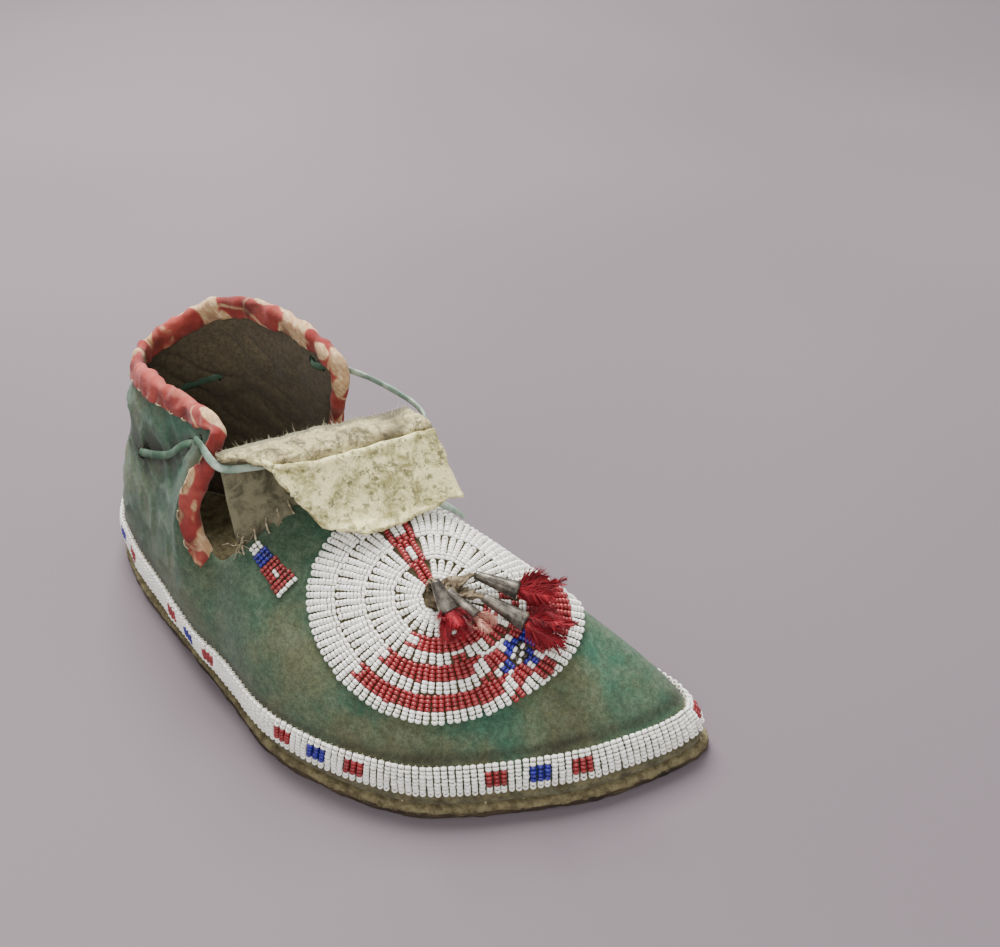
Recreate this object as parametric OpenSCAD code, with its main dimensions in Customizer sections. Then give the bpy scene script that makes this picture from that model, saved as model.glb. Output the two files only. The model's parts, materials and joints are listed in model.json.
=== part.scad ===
// Beaded hard-sole moccasin for the right foot, in millimetres.
// +X points to the toe, -Y is the outer side of the foot, +Z is up and the sole rests on z = 0.

/* [Sole and hide] */
// Thickness of the rawhide sole
sole_t = 4; // [3:0.5:5]
// How far the sole stands out beyond the upper
sole_lip = 1.5; // [0.5:0.5:2.5]
// Thickness of the soft hide of the upper
hide_t = 1.8; // [1.2:0.2:2.2]
// Thickness of the tongue's hide
tongue_t = 1.6; // [1.2:0.2:2]

/* [Beadwork] */
// Thickness of a layer of beads
bead_t = 1.7; // [1.2:0.1:2.2]
// Lower edge of the border lane above the ground
lane_low = 10; // [8:0.5:11]
// Upper edge of the border lane above the ground
lane_high = 18.5; // [16:0.5:21]
// Radius of the bare centre of the rosette
rosette_hole_r = 4.5; // [4:0.5:6]
// Width of one ring of the rosette
ring_w = 8.7; // [7:0.1:9]
// Gap between the rings of the rosette
ring_gap = 0.3; // [0.2:0.1:0.6]
// Width of the strip of beads from the rosette to the throat
stripe_w = 8; // [6:0.5:9]

/* [Binding] */
// Width of the cloth binding on each side of the collar
binding_w = 7; // [4:0.5:8]
// Thickness of the folded binding cloth
binding_t = 0.9; // [0.6:0.1:1.2]

/* [Tie thong] */
// Width of the tie thong
thong_w = 3.2; // [2.6:0.2:3.6]
// Thickness of the tie thong
thong_t = 1.8; // [1.4:0.2:2]

/* [Tassels] */
// Wall thickness of a tin cone
cone_wall = 0.4; // [0.3:0.1:0.6]
// Radius of a tin cone at its mouth
cone_mouth_r = 2.9; // [2.2:0.1:3]
// Radius of a tin cone at its tip
cone_tip_r = 1.35; // [1.3:0.05:1.5]
// Radius of the hide lace that carries a cone
lace_r = 0.8; // [0.6:0.1:0.85]

/* [Hidden] */

hide_green = [0.30, 0.42, 0.33];
bead_white = [0.93, 0.93, 0.90];
bead_red = [0.68, 0.16, 0.16];
cloth_red = [0.66, 0.32, 0.27];
tuft_red = [0.55, 0.09, 0.10];
tin_grey = [0.42, 0.40, 0.36];
thread_tan = [0.62, 0.55, 0.42];
rawhide_brown = [0.30, 0.24, 0.18];
cream_hide = [0.82, 0.79, 0.66];
olive_hide = [0.44, 0.42, 0.34];
pale_green = [0.52, 0.64, 0.56];

// The upper hangs between two closed curves: the outline of the sole and the edge of the
// foot opening. Both pass through the same number of stations, which start at the toe and
// go round by the outer side, the heel and the inner side.
SOLE_OUTLINE = [[119.5, 43], [108, 12], [90, -12], [62, -37], [20, -47], [-12, -41],
    [-34, -36.3], [-54, -32.3], [-75, -27.5], [-92, -21.8], [-108.5, -12.5], [-120.5, 6],
    [-113, 22], [-92, 31], [-64, 35], [-40, 38], [-18, 41], [2, 43],
    [35, 46], [72, 48.5], [104, 49]];
OPENING_EDGE = [[-6, 12, 69], [-8, 4, 68.5], [-11, -5, 65.5], [-15, -15, 60],
    [-20, -24.5, 53.5], [-28, -28, 47], [-38, -26, 62], [-28, -18, 92],
    [-50, -13, 90.5], [-72, -10.5, 89], [-92, -4, 86], [-107, 10, 82],
    [-102, 26, 88], [-88, 35, 96], [-62, 38.5, 98.5], [-28, 35, 92],
    [-34, 36, 64], [-20, 34, 49], [-11, 32, 57], [-7, 26, 63.5], [-6, 19, 67.5]];
// How steeply the upper rises from the sole, and how it leaves the opening's edge.
WALL_RISE = [22, 20, 19, 20, 20, 20, 20, 22, 22, 22, 22, 22, 22, 22, 22, 22, 22, 20, 15, 14, 15];
EDGE_LEAD = [[50, 11, -6], [50, 4, -5], [46, -8, -6], [38, -16, -9],
    [18, -15, -13], [1, -8, -14], [-16, -6, -4], [-24, -6, -14],
    [-6, -8, -28], [-2, -7, -28], [-5, -5, -27], [-6, -2, -27],
    [-5, 2, -28], [-1, 2, -30], [-6, 3, -30], [-24, 3, -14],
    [-16, 5, -4], [1, 7, -14], [15, 10, -15], [34, 8, -13], [46, 10, -10]];
stations = len(SOLE_OUTLINE);
wall_bulge = 2;
columns_per_station = 4;
wall_rows = 13;
step = 0.01;

heel_u = 11;
notch_lateral_u = 5;
notch_medial_u = 17;
throat_lateral_u = 4;
throat_medial_u = -2.9;

// Closed smooth curve through a list of points, at position u along the list.
function wrapped(list, i) = list[(i % len(list) + len(list)) % len(list)];
function spline4(a, b, c, d, t) =
    (2 * b + (c - a) * t + (2 * a - 5 * b + 4 * c - d) * t * t + (3 * b - a - 3 * c + d) * t * t * t) / 2;
function closed_curve(list, u) =
    let (i = floor(u))
    spline4(wrapped(list, i - 1), wrapped(list, i), wrapped(list, i + 1), wrapped(list, i + 2), u - i);
function unit(v) = v / norm(v);
function flat(v, z) = [v[0], v[1], z];

// Outward direction of the sole's outline at u.
function outline_out(u) =
    let (d = closed_curve(SOLE_OUTLINE, u + step) - closed_curve(SOLE_OUTLINE, u - step))
    unit([d[1], -d[0]]) * -1;
function outline_at(u, out) = closed_curve(SOLE_OUTLINE, u) + outline_out(u) * out;

// Point on the outer face of the upper: u goes round the shoe, v from the sole up to the opening.
function wall_point(u, v) =
    let (
        foot = flat(closed_curve(SOLE_OUTLINE, u), sole_t),
        rise = foot + flat(outline_out(u) * wall_bulge, closed_curve(WALL_RISE, u)),
        edge = closed_curve(OPENING_EDGE, u),
        lead = edge + closed_curve(EDGE_LEAD, u),
        w = 1 - v
    )
    w * w * w * foot + 3 * w * w * v * rise + 3 * w * v * v * lead + v * v * v * edge;
function along_u(u, v) = (wall_point(u + step, v) - wall_point(u - step, v)) / (2 * step);
function along_v(u, v) = (wall_point(u, v + step) - wall_point(u, v - step)) / (2 * step);
function wall_out(u, v) = unit(cross(along_v(u, v), along_u(u, v)));
function on_wall(u, v, out) = wall_point(u, v) + wall_out(u, v) * out;

// A nearer place than s = [u, v], where the misses along e1 and e2 come to nothing.
function wall_fix(s, miss_1, miss_2, e1, e2) =
    let (
        pu = along_u(s[0], s[1]),
        pv = along_v(s[0], s[1]),
        a = pu * e1, b = pv * e1, c = pu * e2, d = pv * e2,
        det = a * d - b * c
    )
    [s[0] - (d * miss_1 - b * miss_2) / det, s[1] - (a * miss_2 - c * miss_1) / det];

// Height along v at which the wall reaches z, found by halving.
function v_at_z(u, z, low = 0, high = 0.5, tries = 9) =
    let (mid = (low + high) / 2)
    tries == 0 ? mid
    : wall_point(u, mid)[2] < z ? v_at_z(u, z, mid, high, tries - 1)
    : v_at_z(u, z, low, mid, tries - 1);

// Faces of a grid of points with rows of equal length. closed joins each row's ends.
function grid_faces(rows, cols, closed, from = 0) = [
    for (r = [0 : rows - 2], c = [0 : cols - (closed ? 1 : 2)])
        let (a = from + r * cols + c, b = from + r * cols + (c + 1) % cols)
        each [[a, b, a + cols], [b, b + cols, a + cols]]
];
function reversed(faces) = [for (f = faces) [f[2], f[1], f[0]]];

// Closed sheet between an outer and an inner grid of the same size. Seen from outside, the
// columns run to the left as the rows go up.
module sheet(outer, inner, closed) {
    rows = len(outer);
    cols = len(outer[0]);
    count = rows * cols;
    last = (rows - 1) * cols;
    rims = [for (c = [0 : cols - (closed ? 1 : 2)])
        let (n = (c + 1) % cols)
        each [[count + c, count + n, c], [count + n, n, c],
            [last + c, last + n, count + last + c],
            [last + n, count + last + n, count + last + c]]];
    sides = closed ? [] : [for (r = [0 : rows - 2])
        let (a = r * cols, b = a + cols, p = a + cols - 1, q = b + cols - 1)
        each [[count + a, a, count + b], [a, b, count + b],
            [p, count + p, q], [count + p, count + q, q]]];
    polyhedron([for (r = outer) each r, for (r = inner) each r],
        concat(grid_faces(rows, cols, closed),
            reversed(grid_faces(rows, cols, closed, count)), rims, sides));
}

// Solid strip with a flattened eight-sided section, swept along points with a face direction each.
module strip(points, faces_out, w, t) {
    n = len(points);
    section = [for (k = [0 : 7]) [cos(22.5 + 45 * k) * w / 2, sin(22.5 + 45 * k) * t / 2] / cos(22.5)];
    rings = [for (i = [0 : n - 1])
        let (
            tangent = unit(points[min(i + 1, n - 1)] - points[max(i - 1, 0)]),
            side = unit(cross(tangent, faces_out[i])),
            out = cross(side, tangent)
        )
        [for (s = section) points[i] + side * s[0] + out * s[1]]];
    polyhedron([for (r = rings) each r], concat(grid_faces(n, 8, true),
        [[for (k = [7 : -1 : 0]) k], [for (k = [0 : 7]) (n - 1) * 8 + k]]));
}

// Open smooth curve through a list of points.
function open_point(list, i) =
    i < 0 ? 2 * list[0] - list[1]
    : i > len(list) - 1 ? 2 * list[len(list) - 1] - list[len(list) - 2]
    : list[i];
function open_curve(list, per) = [
    for (i = [0 : len(list) - 2], k = [0 : per - 1])
        spline4(open_point(list, i - 1), list[i], list[i + 1], open_point(list, i + 2), k / per),
    list[len(list) - 1]
];

module sole() {
    outline = [for (k = [0 : stations * 6 - 1]) outline_at(k / 6, sole_lip)];
    color(rawhide_brown) linear_extrude(sole_t) polygon(outline);
}

// Short runs of sinew that go down from the rim of the upper into the sole.
stitch_spacing = 1 / 3;
stitch_r = 0.45;
stitch_depth = 2.5;
stitch_rise = 1.5;
module sole_stitches() {
    color(thread_tan) for (k = [0 : stations * 3 - 1])
        let (p = outline_at(k * stitch_spacing, -hide_t / 2))
        translate([p[0], p[1], sole_t - stitch_depth])
            cylinder(r = stitch_r, h = stitch_depth + stitch_rise, $fn = 16);
}

module upper() {
    us = [for (k = [0 : stations * columns_per_station - 1]) k / columns_per_station];
    vs = [for (k = [0 : wall_rows - 1]) k / (wall_rows - 1)];
    color(hide_green) difference() {
        sheet([for (v = vs) [for (u = us) on_wall(u, v, 0)]],
            [for (v = vs) [for (u = us)
                v == 0 ? flat(on_wall(u, v, -hide_t), sole_t) : on_wall(u, v, -hide_t)]],
            true);
        thong_run(slit_gap);
    }
}

// A round rod between two points.
module rod(a, b, r) {
    d = b - a;
    translate(a) rotate([0, acos(d[2] / norm(d)), atan2(d[1], d[0])])
        cylinder(r = r, h = norm(d), $fn = 16);
}

// Crossing stitches that close the upper's seam at the back of the heel.
seam_stitch_r = 0.45;
seam_stitch_count = 10;
seam_low_v = 0.3;
seam_high_v = 0.86;
seam_half_u = 0.09;
module heel_seam_stitches() {
    color(thread_tan) for (k = [0 : seam_stitch_count - 1])
        let (
            v = seam_low_v + (seam_high_v - seam_low_v) * k / (seam_stitch_count - 1),
            out = seam_stitch_r * 1.6
        )
        rod(on_wall(heel_u - seam_half_u, v, out), on_wall(heel_u + seam_half_u, v, out), seam_stitch_r);
}

// The binding is a strip of cloth folded over the edge of the collar. A point of it lies d
// below the edge, measured straight away from the edge, and out from the hide's face.
function edge_along(u) = unit(along_u(u, 1));
function edge_square(u) =
    let (w = unit(cross(wall_out(u, 1), edge_along(u))))
    w * along_v(u, 1) > 0 ? -w : w;
// Away from the edge, evened out along it so that the cloth fans round the corners.
edge_spread = [-0.3 : 0.15 : 0.3];
function sum_of(list, i = 0) = i == len(list) - 1 ? list[i] : list[i] + sum_of(list, i + 1);
function edge_across(u) = unit(sum_of([for (d = edge_spread) edge_square(u + d)]));
edge_step = 1;
function edge_fix(s, target, e1, e2) =
    wall_fix(s, (wall_point(s[0], s[1]) - target) * e1, (wall_point(s[0], s[1]) - target) * e2, e1, e2);
function edge_walk(u, d, from, at) =
    let (
        next = min(d, at + edge_step),
        e2 = edge_across(u),
        e1 = unit(cross(wall_out(u, 1), e2)),
        target = wall_point(u, 1) + e2 * next,
        s = edge_fix(edge_fix(from, target, e1, e2), target, e1, e2)
    )
    next >= d ? s : edge_walk(u, d, s, next);
function below_edge(u, d, out) =
    let (s = edge_walk(u, d, [u, 1], 0))
    on_wall(s[0], s[1], out);
// The cloth is turned in deeper on straight stretches than at the two front corners.
corner_lateral_u = 7;
corner_medial_u = 15.5;
corner_spread_u = 0.8;
corner_share = 0.6;
function corner_pull(u, corner_u) = exp(-pow((u - corner_u) / corner_spread_u, 2));
function cloth_depth(u) =
    binding_w * (1 - corner_share * (corner_pull(u, corner_lateral_u) + corner_pull(u, corner_medial_u)));
function above_edge(u, d, out) =
    wall_point(u, 1) - edge_across(u) * d + wall_out(u, 1) * out;

cloth_gap = 0.15;
module binding(from_u, to_u, count) {
    near = cloth_gap;
    far = cloth_gap + binding_t;
    rings = [for (k = [0 : count - 1])
        let (
            u = from_u + (to_u - from_u) * k / (count - 1),
            depths = [cloth_depth(u), cloth_depth(u) / 2, 0]
        )
        concat(
            [for (d = depths) below_edge(u, d, far)],
            [above_edge(u, far, -hide_t * 0.2), above_edge(u, far, -hide_t * 0.8)],
            [for (k = [2 : -1 : 0]) below_edge(u, depths[k], -hide_t - far)],
            [for (d = depths) below_edge(u, d, -hide_t - near)],
            [above_edge(u, near, -hide_t / 2)],
            [for (k = [2 : -1 : 0]) below_edge(u, depths[k], near)]
        )];
    size = len(rings[0]);
    color(cloth_red) difference() {
        polyhedron([for (r = rings) each r], concat(
            reversed(grid_faces(count, size, true)),
            [[for (k = [0 : size - 1]) k], [for (k = [size - 1 : -1 : 0]) (count - 1) * size + k]]));
        thong_run(slit_gap);
    }
}
binding_rings = 25;
binding_end = 0.15;
binding_split = 0.02;
module collar_binding_lateral() {
    binding(notch_lateral_u + binding_end, heel_u - binding_split, binding_rings);
}
module collar_binding_medial() {
    binding(heel_u + binding_split, notch_medial_u - binding_end, binding_rings);
}

// Running stitches that hold the binding, left out where the thong passes.
binding_stitch_r = 0.25;
binding_stitch_step = 0.36;
binding_stitch_half = 0.05;
function near_thong(u) = abs(u - 7.3) < 0.6 || abs(u - 14.8) < 0.5;
module binding_stitches() {
    out = cloth_gap + binding_t + binding_stitch_r * 1.4;
    color(thread_tan) for (u = [notch_lateral_u + 0.5 : binding_stitch_step : notch_medial_u - 0.5])
        if (!near_thong(u) && abs(u - heel_u) > 0.15)
            rod(below_edge(u - binding_stitch_half, cloth_depth(u) - 1, out),
                below_edge(u + binding_stitch_half, cloth_depth(u) - 1, out), binding_stitch_r);
}

// The tongue rises from the throat to a straight fold, and its flap hangs forward from there.
FOLD_START = [-25, -18.5, 87];
fold_angle = 62.5;
fold_width = 58;
fold_dir = [cos(fold_angle), sin(fold_angle), 0];
fold_front = [sin(fold_angle), -cos(fold_angle), 0];
fold_top_z = 84.7;
tongue_rows = 6;
tongue_cols = 15;
seam_gap = 0.9;
function tongue_foot(c) =
    let (u = throat_lateral_u + (throat_medial_u - throat_lateral_u) * c)
    wall_point(u, 1) + unit(along_v(u, 1)) * seam_gap - wall_out(u, 1) * hide_t / 2;
function tongue_top(c) = flat(FOLD_START + fold_dir * fold_width * c, fold_top_z);
module tongue_base() {
    middle = [for (r = [0 : tongue_rows - 1]) [for (c = [0 : tongue_cols - 1])
        let (across = c / (tongue_cols - 1), up = r / (tongue_rows - 1))
        tongue_foot(across) * (1 - up) + tongue_top(across) * up]];
    color(olive_hide) sheet(
        [for (row = middle) [for (p = row) p - fold_front * tongue_t / 2]],
        [for (row = middle) [for (p = row) p + fold_front * tongue_t / 2]], false);
}

// Section of the flap: distance forward of the fold and height above it.
FLAP_SECTION = [[0.8, -0.8], [6, 0.8], [11, 0], [15, -3.5], [20, -10.5], [25, -18], [27.5, -20.2]];
flap_start = 4;
flap_end = 63;
function section_out(list, i) =
    let (d = open_point(list, i + 1) - open_point(list, i - 1))
    unit([-d[1], d[0]]);
module tongue_flap() {
    n = len(FLAP_SECTION);
    outline = concat(
        [for (i = [0 : n - 1]) FLAP_SECTION[i] + section_out(FLAP_SECTION, i) * tongue_t / 2],
        [for (i = [n - 1 : -1 : 0]) FLAP_SECTION[i] - section_out(FLAP_SECTION, i) * tongue_t / 2]);
    color(cream_hide) translate(FOLD_START + fold_dir * flap_end) rotate([0, 0, fold_angle - 90])
        rotate([90, 0, 0]) linear_extrude(flap_end - flap_start) polygon(outline);
}

// Whip stitches over the seam between the tongue and the throat.
tongue_stitch_r = 0.35;
tongue_stitch_count = 18;
tongue_stitch_reach = 3;
module tongue_stitches() {
    color(thread_tan) for (k = [0 : tongue_stitch_count - 1])
        let (
            c = (k + 0.5) / tongue_stitch_count,
            u = throat_lateral_u + (throat_medial_u - throat_lateral_u) * c,
            foot = tongue_foot(c),
            up = unit(tongue_top(c) - foot)
        )
        rod(on_wall(u, 1, 0.2) - unit(along_v(u, 1)) * tongue_stitch_reach,
            foot + up * tongue_stitch_reach + fold_front * tongue_t / 2, tongue_stitch_r);
}

// The tie thong runs outside the ankle, dips inside round the heel and comes out through the
// binding at each front corner. Each stop is the place on the hide and how far out of it.
thong_gap = 0.4;
slit_gap = 0.3;
outside = thong_gap + thong_t / 2;
inside = -hide_t - thong_gap - thong_t / 2;
through = -hide_t / 2;
over_cloth = cloth_gap + binding_t + thong_gap + thong_t / 2;
WALL_ROUTE = [[6.93, 0.92, over_cloth + 0.4], [7.08, 0.88, over_cloth], [7.21, 0.865, through],
    [7.34, 0.857, inside], [7.44, 0.85, inside], [7.54, 0.84, through], [7.66, 0.825, outside],
    [8.04, 0.778, outside], [8.42, 0.74, outside], [8.8, 0.705, outside],
    [8.95, 0.687, outside], [9.09, 0.672, through], [9.22, 0.66, inside],
    [9.7, 0.65, inside], [10.3, 0.645, inside], [11, 0.645, inside], [11.7, 0.645, inside],
    [12.3, 0.65, inside], [12.6, 0.655, inside], [12.75, 0.66, through], [12.9, 0.665, outside],
    [13.3, 0.69, outside], [13.7, 0.73, outside], [14.1, 0.78, outside], [14.5, 0.84, outside],
    [14.6, 0.855, through], [14.69, 0.865, inside], [14.77, 0.872, inside],
    [14.86, 0.88, through], [14.95, 0.895, over_cloth], [15.08, 0.93, over_cloth + 0.4]];
LATERAL_CROSSING = [[-5, 5.2, 79], [-9.5, 0.5, 80], [-14.3, -7.8, 81], [-20, -18, 82], [-25.1, -23.4, 82.9]];
MEDIAL_CROSSING = [[-20, 41, 86], [-11, 41.5, 85], [-2.5, 41.5, 84], [5, 39.5, 82.5], [8.5, 34.5, 81.5],
    [6.5, 28, 81.5], [2, 19, 81], [-2, 11, 80], [-5, 5.2, 79]];
crossing_face = unit([0.5, -0.3, 0.8]);
medial_face = [0, 1, 0.2];
thong_rings_per_stop = 2;
module thong_run(extra) {
    stops = concat(LATERAL_CROSSING, [for (s = WALL_ROUTE) on_wall(s[0], s[1], s[2])], MEDIAL_CROSSING);
    faces = concat([for (p = LATERAL_CROSSING) crossing_face],
        [for (s = WALL_ROUTE) wall_out(s[0], s[1])],
        [for (k = [0 : len(MEDIAL_CROSSING) - 1]) k < 4 ? medial_face : crossing_face]);
    strip(open_curve(stops, thong_rings_per_stop), open_curve(faces, thong_rings_per_stop),
        thong_w + 2 * extra, thong_t + 2 * extra);
}
module tie_thong() {
    color(pale_green) thong_run(0);
}

KNOT_AT = [-5, 5.2, 79];
knot_r = 3.5;
knot_waist_r = 2.6;
knot_half = 2.6;
module tie_knot() {
    color(pale_green) translate(KNOT_AT) rotate([90, 0, fold_angle - 90])
        rotate_extrude($fn = 32) polygon([[0, -knot_half], [knot_waist_r, -knot_half],
            [knot_r, -knot_half / 2], [knot_r, knot_half / 2], [knot_waist_r, knot_half], [0, knot_half]]);
}

// The loose ends of the thong lie forward over the instep, under the flap.
LONG_END_ROUTE = [[-5, 5.2, 79], [-2.5, 7.5, 78], [0, 9.5, 76.5], [2.5, 11.5, 74.5], [5, 13, 72.5],
    [7.5, 14.5, 70.8], [10, 16, 69.6], [12.5, 17.7, 68.6], [15, 19.5, 67.7], [17.5, 21.5, 66.6],
    [20, 23.5, 65.3], [22.3, 25.5, 63.8], [24.6, 27.5, 62], [26.8, 29.5, 59.8], [28.8, 31.3, 57.2]];
SHORT_END_ROUTE = [[-5, 5.2, 79], [-6.6, 3.5, 78.2], [-7.7, 1.3, 77.2], [-8.1, -1, 76.1], [-7.9, -3.4, 75],
    [-7, -5.6, 74], [-5.4, -7.3, 73], [-3.5, -8.3, 72], [-1.2, -8.6, 71], [1, -8, 70.2],
    [2.9, -6.7, 69.5], [4.3, -4.9, 69], [5.1, -2.7, 68.7], [5.4, -0.5, 68.6], [5.1, 1.8, 68.8]];
end_face = unit([0.15, -0.1, 1]);
module loose_end(route) {
    color(pale_green) strip(open_curve(route, 1), [for (p = route) end_face], thong_w, thong_t);
}
module tie_end_long() {
    loose_end(LONG_END_ROUTE);
}
module tie_end_short() {
    loose_end(SHORT_END_ROUTE);
}

// Beadwork lies on the hide as thin layers.
bead_gap = 0.1;
lane_rows = 4;
module border_lane() {
    us = [for (k = [0 : stations * columns_per_station - 1]) k / columns_per_station];
    zs = [for (k = [0 : lane_rows - 1]) lane_low + (lane_high - lane_low) * k / (lane_rows - 1)];
    grid = [for (z = zs) [for (u = us) [u, v_at_z(u, z)]]];
    color(bead_white) sheet(
        [for (row = grid) [for (s = row) on_wall(s[0], s[1], bead_gap + bead_t)]],
        [for (row = grid) [for (s = row) on_wall(s[0], s[1], bead_gap)]], true);
}

// The rosette is laid out in polar form on the hide: r is the straight distance from its centre
// and the angle is measured in the plane that touches the hide there.
CENTRE_U = 1.38;
CENTRE_V = 0.65;
centre_point = wall_point(CENTRE_U, CENTRE_V);
centre_out = wall_out(CENTRE_U, CENTRE_V);
polar_y = unit(cross(centre_out, [1, 0, 0]));
polar_x = cross(polar_y, centre_out);
polar_step = 3;

// One step towards the place on the hide at r and angle, from a nearby place s.
function polar_fix(s, r, angle) =
    let (
        away = wall_point(s[0], s[1]) - centre_point,
        across = polar_y * cos(angle) - polar_x * sin(angle)
    )
    wall_fix(s, away * across, norm(away) - r, across, unit(away));
// First place at a small radius, from the slopes at the centre itself.
function polar_start(r, angle) =
    let (
        aim = (polar_x * cos(angle) + polar_y * sin(angle)) * r,
        pu = along_u(CENTRE_U, CENTRE_V),
        pv = along_v(CENTRE_U, CENTRE_V),
        a = pu * pu, b = pu * pv, d = pv * pv,
        det = a * d - b * b
    )
    [CENTRE_U + (d * (aim * pu) - b * (aim * pv)) / det,
        CENTRE_V + (a * (aim * pv) - b * (aim * pu)) / det];
function polar_walk(r, angle, from, at) =
    let (next = min(r, at + polar_step), s = polar_fix(polar_fix(from, next, angle), next, angle))
    next >= r ? s : polar_walk(r, angle, s, next);
function polar_place(r, angle) =
    let (near = min(r, polar_step))
    polar_walk(r, angle, polar_start(near, angle), near);

// The strip of beads runs from the rosette's centre back to the throat.
stripe_angle = 158;
stripe_end_r = 47;
stripe_gap = 0.3;
ring_cols = 49;
ring_rows = 3;
function ring_inner(k) = rosette_hole_r + (k - 1) * (ring_w + ring_gap);
function stripe_half_angle(r) = asin(min(0.95, (stripe_w / 2 + stripe_gap) / r));
module rosette_ring(k) {
    places = [for (i = [0 : ring_rows - 1])
        let (r = ring_inner(k) + ring_w * i / (ring_rows - 1), half = stripe_half_angle(r))
        [for (c = [0 : ring_cols - 1])
            polar_place(r, stripe_angle + half + (360 - 2 * half) * c / (ring_cols - 1))]];
    color(bead_white) sheet(
        [for (row = places) [for (s = row) on_wall(s[0], s[1], bead_gap + bead_t)]],
        [for (row = places) [for (s = row) on_wall(s[0], s[1], bead_gap)]], false);
}
module rosette_ring_1() {
    rosette_ring(1);
}
module rosette_ring_2() {
    rosette_ring(2);
}
module rosette_ring_3() {
    rosette_ring(3);
}
module rosette_ring_4() {
    rosette_ring(4);
}

stripe_rows = 13;
stripe_cols = 5;
module rosette_stripe() {
    places = [for (i = [0 : stripe_rows - 1]) [for (c = [0 : stripe_cols - 1])
        let (
            along = rosette_hole_r + (stripe_end_r - rosette_hole_r) * i / (stripe_rows - 1),
            side = stripe_w * (c / (stripe_cols - 1) - 0.5)
        )
        polar_place(norm([along, side]), stripe_angle + atan2(side, along))]];
    color(bead_red) sheet(
        [for (row = places) [for (s = row) on_wall(s[0], s[1], bead_gap + bead_t)]],
        [for (row = places) [for (s = row) on_wall(s[0], s[1], bead_gap)]], false);
}

// A tapered tab of beads at each end of the throat. Its edges lean as it goes down the hide.
tab_high_v = 0.965;
tab_low_v = 0.8;
tab_rows = 7;
tab_cols = 4;
tab_high_u = 3.67;
tab_width_u = 0.38;
tab_lean_u = 0.21;
mirror_u = 22;
module throat_tab(side) {
    places = [for (r = [0 : tab_rows - 1]) [for (c = [0 : tab_cols - 1])
        let (
            down = 1 - r / (tab_rows - 1),
            u = tab_high_u - tab_lean_u * down - tab_width_u * (1 - c / (tab_cols - 1))
        )
        [side < 0 ? u : mirror_u - u, tab_high_v + (tab_low_v - tab_high_v) * down]]];
    ordered = side < 0 ? places : [for (row = places) [for (c = [tab_cols - 1 : -1 : 0]) row[c]]];
    color(bead_red) sheet(
        [for (row = ordered) [for (s = row) on_wall(s[0], s[1], bead_gap + bead_t)]],
        [for (row = ordered) [for (s = row) on_wall(s[0], s[1], bead_gap)]], false);
}
module throat_tab_lateral() {
    throat_tab(-1);
}
module throat_tab_medial() {
    throat_tab(1);
}

// The four tassels hang from one knot at the rosette's centre. Each has a hide lace, a rolled
// tin cone and a tuft that fills the cone's mouth. A row gives the cone's tip, its mouth,
// the mouth's radius, and the tuft's radius and length beyond the mouth.
tassel_knot_r = 3;
TASSELS = [
    [[50.5, 11.5, 58], [63, 17.5, 54.5], cone_mouth_r, 4.6, 12],
    [[57, 8, 54.8], [70.5, 12, 49.7], cone_mouth_r, 4.6, 13],
    [[46.5, -2.3, 62.5], [54, -4.6, 56], cone_mouth_r, 4.2, 9],
    [[48.8, 0.8, 57.6], [59.5, 1.2, 53], cone_mouth_r - 0.5, 2.4, 6]];
knot_centre = centre_point + centre_out * (tassel_knot_r + 0.05);
lace_gap = 0.3;
lace_reach = 6;
lace_rings = 5;
lace_t = 1.2;
module along_line(a, b) {
    d = b - a;
    translate(a) rotate([0, acos(d[2] / norm(d)), atan2(d[1], d[0])]) children();
}
module tassel_knot() {
    color(rawhide_brown) translate(knot_centre) sphere(tassel_knot_r, $fn = 32);
}
module tassel_lace(k) {
    tip = TASSELS[k - 1][0];
    mouth = TASSELS[k - 1][1];
    start = knot_centre + unit(tip - knot_centre) * (tassel_knot_r + lace_gap);
    line = open_curve([start, tip, tip + unit(mouth - tip) * lace_reach], lace_rings);
    color(rawhide_brown) strip(line, [for (p = line) centre_out], 2 * lace_r, lace_t);
}
module tin_cone(k) {
    tip = TASSELS[k - 1][0];
    mouth = TASSELS[k - 1][1];
    mouth_r = TASSELS[k - 1][2];
    long = norm(mouth - tip);
    color(tin_grey) along_line(tip, mouth) rotate_extrude($fn = 48)
        polygon([[cone_tip_r - cone_wall, 0], [cone_tip_r, 0], [mouth_r, long], [mouth_r - cone_wall, long]]);
}
tuft_gap = 0.2;
tuft_slack = 0.25;
tuft_points = 10;
module horsehair_tuft(k) {
    tip = TASSELS[k - 1][0];
    mouth = TASSELS[k - 1][1];
    mouth_r = TASSELS[k - 1][2] - cone_wall - tuft_slack;
    r = TASSELS[k - 1][3];
    past = TASSELS[k - 1][4];
    long = norm(mouth - tip);
    start = lace_reach + tuft_gap;
    neck_r = cone_tip_r - cone_wall + (mouth_r - cone_tip_r + cone_wall) * start / long;
    swell = [for (i = [1 : tuft_points])
        let (t = i / tuft_points, belly = sin(180 * pow(t, 0.8)))
        [t == 1 ? 0 : mouth_r * (1 - t) + (r - mouth_r * (1 - t)) * belly, long + past * t]];
    color(tuft_red) along_line(tip, mouth) rotate_extrude($fn = 32)
        polygon(concat([[0, start], [neck_r, start], [mouth_r, long]], swell));
}
module tassel_lace_1() { tassel_lace(1); }
module tin_cone_1() { tin_cone(1); }
module horsehair_tuft_1() { horsehair_tuft(1); }
module tassel_lace_2() { tassel_lace(2); }
module tin_cone_2() { tin_cone(2); }
module horsehair_tuft_2() { horsehair_tuft(2); }
module tassel_lace_3() { tassel_lace(3); }
module tin_cone_3() { tin_cone(3); }
module horsehair_tuft_3() { horsehair_tuft(3); }
module tassel_lace_4() { tassel_lace(4); }
module tin_cone_4() { tin_cone(4); }
module horsehair_tuft_4() { horsehair_tuft(4); }

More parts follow.
